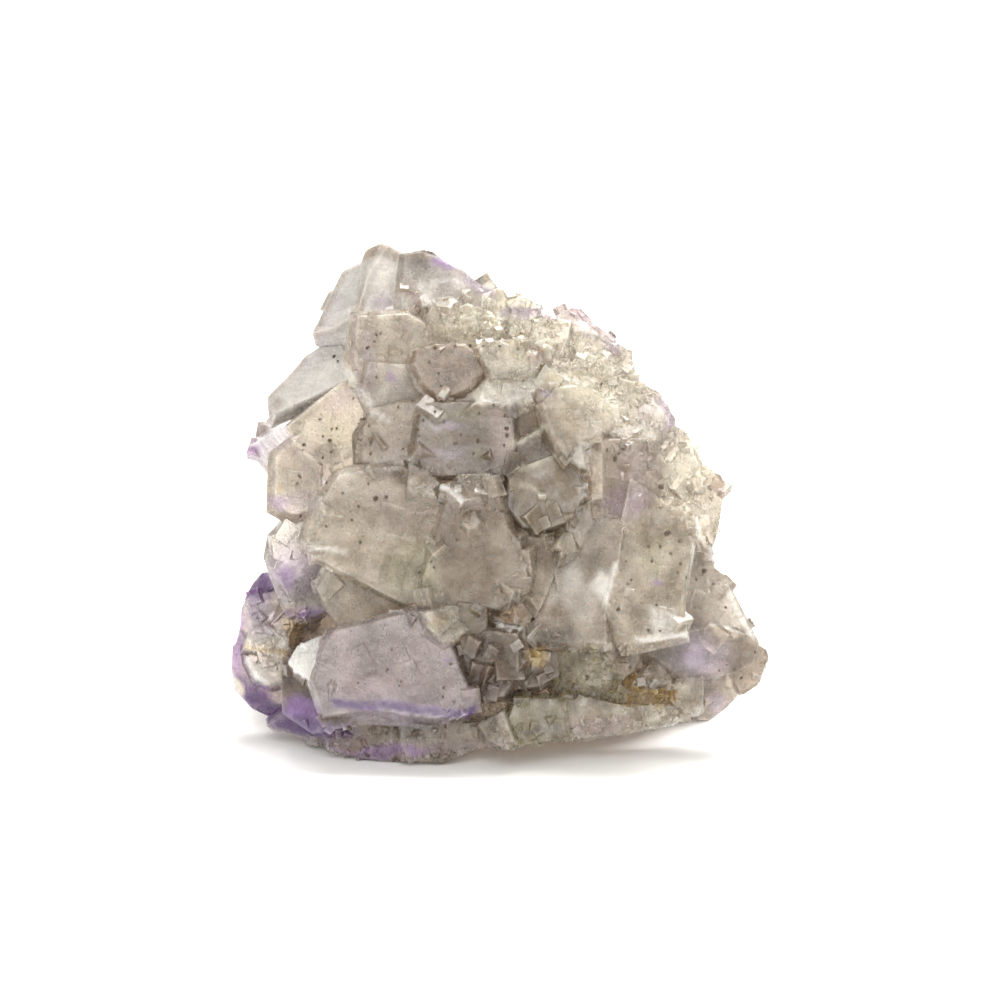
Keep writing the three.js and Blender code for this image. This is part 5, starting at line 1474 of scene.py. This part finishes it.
def tone_by_crystal(seen, colour, clear):
    """Gives each corner the tone of its face. Returns how far it is from the face and its rim."""
    price = np.full(len(seen), DEEP_FACE)
    rim = np.full(len(seen), DEEP_FACE)
    for outline, face, out, yaw, pitch, _, tone in FACES + CREVICES + tip_faces:
        corners, turn, pivot = lay_out(outline, face, out, yaw, pitch)
        local = (seen - np.array(pivot)) @ np.array(turn)
        widest = max(corner.length for corner in corners) + FACE_MARGIN
        within_reach = np.hypot(*local[:, :2].T) < widest
        close = np.flatnonzero((np.abs(local[:, 2]) < DEEP_FACE) & within_reach)
        local = local[close]
        within = outline_mask(local, corners)
        parts = [away_from_line(local, a, b) for a, b in sides_of(corners)]
        to_rim = np.min(parts, axis=0)
        asked = np.abs(local[:, 2]) + np.where(within, 0, BESIDE_PRICE * to_rim)
        better = asked < price[close]
        chosen = close[better]
        price[chosen] = asked[better]
        rim[chosen] = np.where(within, to_rim, 0)[better]
        colour[chosen] = COLOURS[tone]
        clear[chosen] = CLARITY.get(tone, USUAL_CLARITY)
    return price, rim


def lay_on(colour, clear, factor, tone):
    """Colour and clarity after a tone is laid on by a factor from 0 to 1 for each corner."""
    return blend(colour, factor, tone), clear * (1 - CLOUDING.get(tone, 0) * factor)


def paint_skin(piece, spots, streaks):
    """Colour and clarity for every corner: the crystal's tone first, then spots and lines."""
    seen = seen_table(piece)
    facing = table_of(piece.data.vertex_normals, "vector", 3) @ np.array(TOWARDS)
    front = soft(facing, *FRONT_FADE)
    cloud = noise_row(seen, *CLOUDS)
    fine_cloud = noise_row(seen, *FINE_CLOUDS)
    colour = np.tile(np.array(COLOURS["beige"]), (len(seen), 1))
    colour = blend(colour, soft(cloud + FINE_SHARE * fine_cloud, *PALE_CLOUDS), "pale")
    clear = np.full(len(seen), USUAL_CLARITY)
    price, rim = tone_by_crystal(seen, colour, clear)
    shade = 1 + CLOUD_SHADE * cloud + FINE_SHADE * fine_cloud
    colour = colour * shade[:, None]
    # Painted shade: brown where the skin lies deep below the nearest face.
    below = np.where(price < DEEP_FACE, soft(price, NEAR_FACE, DEEP_FACE), 0)
    colour = blend(colour, DEEP_SHADE * below, "brown")
    wander = np.stack([fine_cloud, noise_row(seen, *WANDERING)], axis=1)
    for middle_u, middle_v, half_u, half_v, turn, tone, strength in spots:
        away = seen[:, :2] + wander - np.array((middle_u, middle_v))
        c, s = math.cos(math.radians(turn)), math.sin(math.radians(turn))
        across = (away[:, 0] * c + away[:, 1] * s) / half_u
        along = (away[:, 1] * c - away[:, 0] * s) / half_v
        ball = 1 - np.sqrt(across ** 2 + along ** 2)
        colour, clear = lay_on(colour, clear, soft(ball, *SOFT_EDGE) * strength * front, tone)
    places = seen[:, :2] + wander * LINE_WANDER
    for line, half, tone, strength in streaks:
        corners = list(zip(line[::2], line[1::2]))
        parts = [away_from_line(places, a, b) for a, b in zip(corners, corners[1:])]
        near = 1 - np.min(parts, axis=0) / half
        colour, clear = lay_on(colour, clear, soft(near, *SOFT_EDGE) * strength * front, tone)
    # Painted highlight: a pale glow towards the rims of each face.
    glow = sum(strength * np.exp(-rim / width) for strength, width in PAINTED_RIM_GLOWS)
    return blend(colour, np.where(price < NEAR_FACE, glow, 0), "white"), clear


skin_colour, skin_clear = paint_skin(cluster, SPOTS, STREAKS)
print("mean clarity of the skin:", round(float(skin_clear.mean()), 3))

# %% [markdown]
# The bend of the skin is measured: how far each corner stands out of its neighbours. White goes on
# the edges that stand out as a painted highlight, and brown in the hollows as painted shade. Then
# colour and clarity are kept on the mesh, for its finish to read.

# %% Painted highlight on the edges and painted shade in the hollows
# Bend in millimetres, from and to, and the strength of the tone there: white as painted highlight on
# edges, brown as painted shade in hollows.
EDGE_BEND, EDGE_HIGHLIGHT = (0.02, 0.16), 0.3
HOLLOW_BEND, HOLLOW_SHADE = (0.02, 0.18), 0.12


def bend_of_skin(piece):
    """How far every corner stands out of its neighbours, in millimetres: above 0 on edges that stand
    out.
    """
    count = len(piece.data.vertices)
    places = table_of(piece.data.vertices, "co", 3) / MM
    normals = table_of(piece.data.vertex_normals, "vector", 3)
    pairs = table_of(piece.data.edges, "vertices", 2, np.int32)
    total, near = np.zeros((count, 3)), np.zeros(count)
    for a, b in ((0, 1), (1, 0)):
        np.add.at(total, pairs[:, a], places[pairs[:, b]])
        np.add.at(near, pairs[:, a], 1)
    bend = ((places - total / near[:, None]) * normals).sum(axis=1)
    for _ in range(2):
        smooth = np.zeros(count)
        for a, b in ((0, 1), (1, 0)):
            np.add.at(smooth, pairs[:, a], bend[pairs[:, b]])
        bend = 0.5 * bend + 0.5 * smooth / near
    return bend


def store(piece, name, values):
    """Keeps one number, or one colour, for every corner of a piece."""
    if values.ndim == 1:
        kept = piece.data.attributes.new(name, "FLOAT", "POINT")
        kept.data.foreach_set("value", values.astype(np.float32))
    else:
        rgba = np.concatenate([values, np.ones((len(values), 1))], axis=1).astype(np.float32)
        kept = piece.data.color_attributes.new(name, "FLOAT_COLOR", "POINT")
        kept.data.foreach_set("color", rgba.ravel())


bend = bend_of_skin(cluster)
# Painted highlight: white on the edges that stand out. Painted shade: brown in the hollows.
skin_colour = blend(skin_colour, soft(bend, *EDGE_BEND) * EDGE_HIGHLIGHT, "white")
skin_colour = blend(skin_colour, soft(-bend, *HOLLOW_BEND) * HOLLOW_SHADE, "brown")
store(cluster, "tint", np.clip(skin_colour, 0, 1))
store(cluster, "clarity", skin_clear)
spread = [round(float(x), 3) for x in np.percentile(bend, (1, 10, 50, 90, 99))]
print("bend of the skin in mm:", spread)

# %% [markdown]
# The finish of fluorite is frosted and carries light. Part of the light goes through the surface
# (transmission), part is scattered just under it (subsurface), and a little colour is lost on the
# way through the solid (volume absorption). Noise makes milk, dust, veils, frost and two sizes of
# bump, and the tint and clarity kept on the skin steer the rest.

# %% The finish of the crystals
# Bumps per metre, detail and roughness of each noise, and from and to which values it is taken.
MILK, MILK_RANGE = (220, 5, 0.6), (0.5, 0.72, 0, 0.25)
DUST, DUST_RANGE = (2400, 3, 0.6), (0.60, 0.72, 0, 0.4)
VEIL, VEIL_RANGE = (260, 4, 0.6), (0.3, 0.7, 0.7, 1.2)
FROST, FROST_RANGE = (900, 4, 0.65), (0.3, 0.7, 0.12, 0.38)
RIPPLES, RIPPLES_HIGH = (700, 4, 0.6), 0.12 * MM
GRAINS, GRAINS_HIGH = (3000, 3, 0.6), 0.03 * MM
SURFACE = {
    "IOR": 1.434, "Coat Weight": 0.25, "Coat Roughness": 0.08, "Subsurface Weight": 1.0,
    "Subsurface Radius": (1.0, 0.92, 0.85), "Subsurface Scale": 2.0 * MM,
}


def noise_at(tree, vector, scale, detail=2.0, roughness=0.5):
    """A noise of about the given number of bumps per metre."""
    inputs = {"Vector": vector, "Scale": scale, "Detail": detail, "Roughness": roughness}
    return node(tree, "ShaderNodeTexNoise", inputs).outputs["Fac"]


def finish_for_fluorite(name):
    """Frosted fluorite that takes its colour and clarity from the skin."""
    material = bpy.data.materials.new(name)
    material.use_nodes = True
    tree = material.node_tree
    shader = tree.nodes["Principled BSDF"]
    where = node(tree, "ShaderNodeTexCoord").outputs["Object"]
    tint = node(tree, "ShaderNodeAttribute", attribute_name="tint").outputs["Color"]
    clarity = node(tree, "ShaderNodeAttribute", attribute_name="clarity").outputs["Fac"]
    milk = map_range(tree, noise_at(tree, where, *MILK), *MILK_RANGE)
    colour = mix_colour(tree, milk, tint, (*COLOURS["white"], 1))
    dust = map_range(tree, noise_at(tree, where, *DUST), *DUST_RANGE)
    colour = mix_colour(tree, dust, colour, (*COLOURS["brown"], 1))
    veil = map_range(tree, noise_at(tree, where, *VEIL), *VEIL_RANGE)
    veiled = node(tree, "ShaderNodeMath", {0: clarity, 1: veil}, operation="MULTIPLY",
                  use_clamp=True)
    frost = map_range(tree, noise_at(tree, where, *FROST), *FROST_RANGE)
    bump = node(tree, "ShaderNodeBump", {"Height": noise_at(tree, where, *RIPPLES),
                                         "Strength": 1.0, "Distance": RIPPLES_HIGH})
    fine = node(tree, "ShaderNodeBump", {"Height": noise_at(tree, where, *GRAINS),
                                         "Strength": 1.0, "Distance": GRAINS_HIGH,
                                         "Normal": bump.outputs["Normal"]})
    tree.links.new(colour, shader.inputs["Base Color"])
    tree.links.new(veiled.outputs[0], shader.inputs["Transmission Weight"])
    tree.links.new(frost, shader.inputs["Roughness"])
    tree.links.new(fine.outputs["Normal"], shader.inputs["Normal"])
    for label, value in SURFACE.items():
        shader.inputs[label].default_value = value
    absorb = node(tree, "ShaderNodeVolumeAbsorption",
                  {"Color": (0.80, 0.72, 0.64, 1), "Density": 45.0})
    tree.links.new(absorb.outputs[0], tree.nodes["Material Output"].inputs["Volume"])
    return material


fluorite = finish_for_fluorite("frosted_fluorite")
cluster.data.materials.clear()
cluster.data.materials.append(fluorite)
print("the crystals' finish has", len(fluorite.node_tree.nodes), "nodes")

# %% [markdown]
# Fine dark grains of ore sit on and just under the faces. The large ones are listed where they are
# seen, and the fine dust of them is strewn in zones, like the crust. A grain is a ball of a few
# faces, squeezed in edit mode and turned at random. All of them are joined into one piece.

# %% Dark grains
GRAIN_SHAPE = (1.0, 0.8, 0.6)
dice = random.Random(11)
skin = tree_of(cluster)
ore_grain = start_shape(bpy.ops.mesh.primitive_ico_sphere_add, subdivisions=1, radius=0.5)
bpy.ops.mesh.select_all(action="SELECT")
bpy.ops.transform.resize(value=GRAIN_SHAPE)
bpy.ops.object.mode_set(mode="OBJECT")

# Place (u, v) and size, in millimetres.
LARGE_GRAINS = [
    (-24.7, 40, 0.5), (-28.5, 38.6, 0.3), (-28.4, 39.4, 0.4), (-24.4, 41.7, 0.35),
    (-23.7, 41.8, 0.3), (-26.1, 43.1, 0.35), (-25.7, 40.6, 0.3), (-24.5, 38.3, 0.35),
    (-25.7, 37.5, 0.3), (-25.9, 36.5, 0.3), (-30.8, 42.3, 0.3), (-21.3, 46.2, 0.3),
    (-20.5, 42.5, 0.3), (-19.6, 43.1, 0.3), (-18.7, 42, 0.3), (-17.7, 55.3, 0.35),
    (-17.1, 55.5, 0.3), (-18, 54.3, 0.3), (-19, 53.4, 0.45), (-17.7, 49.1, 0.3),
    (-24.2, 52.4, 0.4), (-23.6, 51.7, 0.3), (14.9, 48.1, 0.35), (-6.3, 53.6, 0.35),
    (-4.1, 53.6, 0.45), (-2.2, 53.5, 0.3), (0.2, 53.5, 0.3), (2.8, 53.1, 0.3), (-9.2, 53.3, 0.45),
    (6.1, 50.7, 0.3), (-10, 51.2, 0.35), (-8.6, 49.6, 0.3), (-8.3, 47.8, 0.3), (-3, 48.1, 0.3),
    (3.6, 48.5, 0.3), (-9.1, 44, 0.35), (-7.9, 42.6, 0.3), (-2.8, 43.8, 0.35), (-0.7, 45, 0.3),
    (1, 43.5, 0.35), (1.2, 41.6, 0.55), (1.2, 40.6, 0.5), (-3, 39.8, 0.5), (-6.4, 39.4, 0.35),
    (-6, 39.4, 0.3), (-5.4, 40.7, 0.3), (0.8, 39.2, 0.35), (-3.6, 38, 0.3), (-6.2, 34.2, 0.5),
    (-10.8, 42.8, 0.3), (-11.4, 43.4, 0.3), (-11.6, 41.4, 0.35), (-11.5, 40.5, 0.3),
    (-14.5, 44.8, 0.3), (-13.8, 38.7, 0.3), (16.8, 37.2, 0.6), (15.7, 38.5, 0.35),
    (18, 38.6, 0.35), (23.5, 33.2, 0.6), (17.3, 38, 0.3), (-29, 34.8, 0.35), (-29.3, 33.7, 0.35),
    (-28.8, 34.6, 0.3), (-28.8, 29, 0.4), (-18.5, 38, 0.4), (-17.7, 31.5, 0.6), (-16.2, 31.7, 0.4),
    (-20.2, 30.4, 0.35), (-21.2, 28.4, 0.35), (-18.8, 33.6, 0.3), (-22.5, 32.3, 0.3),
    (-20, 25.2, 0.35), (-24.9, 27.5, 0.35), (-24.8, 32.6, 0.3), (-24.9, 33.8, 0.3),
    (-9.7, 22.4, 0.35), (-9.3, 21.6, 0.35), (-11.5, 20.8, 0.3), (-6, 25.5, 0.3), (0.5, 29.7, 0.35),
    (-26.4, 13.6, 0.6), (-16, 6.9, 0.35), (-14.3, 4.6, 0.3), (-14, 5.2, 0.3), (-20.2, 5, 0.3),
    (-15.4, 9.8, 0.3), (-6.9, 7.7, 0.35), (-7.9, 4.3, 0.35), (-8, 3, 0.3), (-6.4, 2.3, 0.3),
    (19.1, 19.8, 0.35), (17.2, 15.6, 0.5), (21.5, 12.6, 0.35), (24.3, 26.5, 0.7),
    (23.3, 24.6, 0.4), (21.6, 24.6, 0.35), (26.1, 25.4, 0.4), (24.8, 23.6, 0.35), (27, 20.2, 0.4),
    (28.7, 19.8, 0.35), (29.8, 21, 0.6), (31.2, 19.2, 0.4), (33, 15.7, 0.35), (26.2, 22.1, 0.35),
    (25.8, 20.9, 0.35), (22.1, 22.5, 0.35), (18.3, 22.5, 0.3), (18.6, 19.2, 0.3),
    (22.7, 16.2, 0.3), (23.2, 12.5, 0.3), (35.5, 5.3, 0.4), (37.3, 9.2, 0.3), (32.1, 6.5, 0.3),
    (34.3, 6.6, 0.3), (5, 13.9, 0.7), (4.5, 18, 0.6), (12.8, 5.5, 0.6), (-21.5, -1.6, 0.6),
    (-19, -5.8, 0.5), (-15, -6.3, 0.5), (-12, -2.4, 0.8),
]
# Middle (u, v), spread along and across, heading in degrees, sizes from and to, how many.
DUST_ZONES = [
    (-26, 41, 4, 4, 0, 0.1, 0.24, 70), (-17, 52, 3, 4, 0, 0.1, 0.22, 46),
    (-5, 42, 5, 4, 0, 0.1, 0.24, 70), (-7, 50, 4, 3, 0, 0.1, 0.22, 30),
    (-14, 40, 3, 3, 0, 0.1, 0.24, 30), (19, 36, 3, 3, 0, 0.1, 0.24, 36),
    (-18, 28, 6, 5, 0, 0.1, 0.24, 100), (-4, 24, 4, 5, 0, 0.1, 0.22, 30),
    (-14, 7, 7, 4, 0, 0.1, 0.22, 60), (24, 21, 5, 5, 0, 0.1, 0.26, 90),
    (-29, 34, 2, 3, 0, 0.1, 0.22, 20), (32, 14, 3, 4, 0, 0.1, 0.22, 20),
]
GRAIN_GROWTH = 1.7
ore_grains = []
for u, v, size in LARGE_GRAINS:
    spin = random_turn()
    found = on_front(u, v)
    if found:
        shape = Vector((1, 1, 1)) * size * GRAIN_GROWTH * MM
        ore_grains.append(copy_of(ore_grain, found[0], spin, shape))
ore_grains += strew(DUST_ZONES, ore_grain, 0.0)
specks = ore_grains[0]
only(specks)
for grain in ore_grains:
    grain.select_set(True)
bpy.ops.object.join()
specks.name = "dark_grains"
bpy.data.objects.remove(ore_grain)
print(len(ore_grains), "dark grains")

# %% [markdown]
# The ore is nearly black, with a dull shine. A little noise between two dark browns keeps the
# grains from looking like ink. They don't move by themselves, so they ride the same body as the
# cluster.

# %% The finish of the grains
ORE_DARK, ORE_LIGHT = (0.02, 0.013, 0.01, 1), (0.13, 0.085, 0.05, 1)
ORE_BUMPS, ORE_DETAIL = 900, 2
ore = bpy.data.materials.new("dark_ore")
ore.use_nodes = True
ore_shader = ore.node_tree.nodes["Principled BSDF"]
ore_where = node(ore.node_tree, "ShaderNodeTexCoord").outputs["Object"]
ore_noise = noise_at(ore.node_tree, ore_where, ORE_BUMPS, ORE_DETAIL)
ore_colour = mix_colour(ore.node_tree, ore_noise, ORE_DARK, ORE_LIGHT)
ore.node_tree.links.new(ore_colour, ore_shader.inputs["Base Color"])
ore_shader.inputs["Roughness"].default_value = 0.45
specks.data.materials.append(ore)
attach(specks, "root")
print("the grains' finish has", len(ore.node_tree.nodes), "nodes")
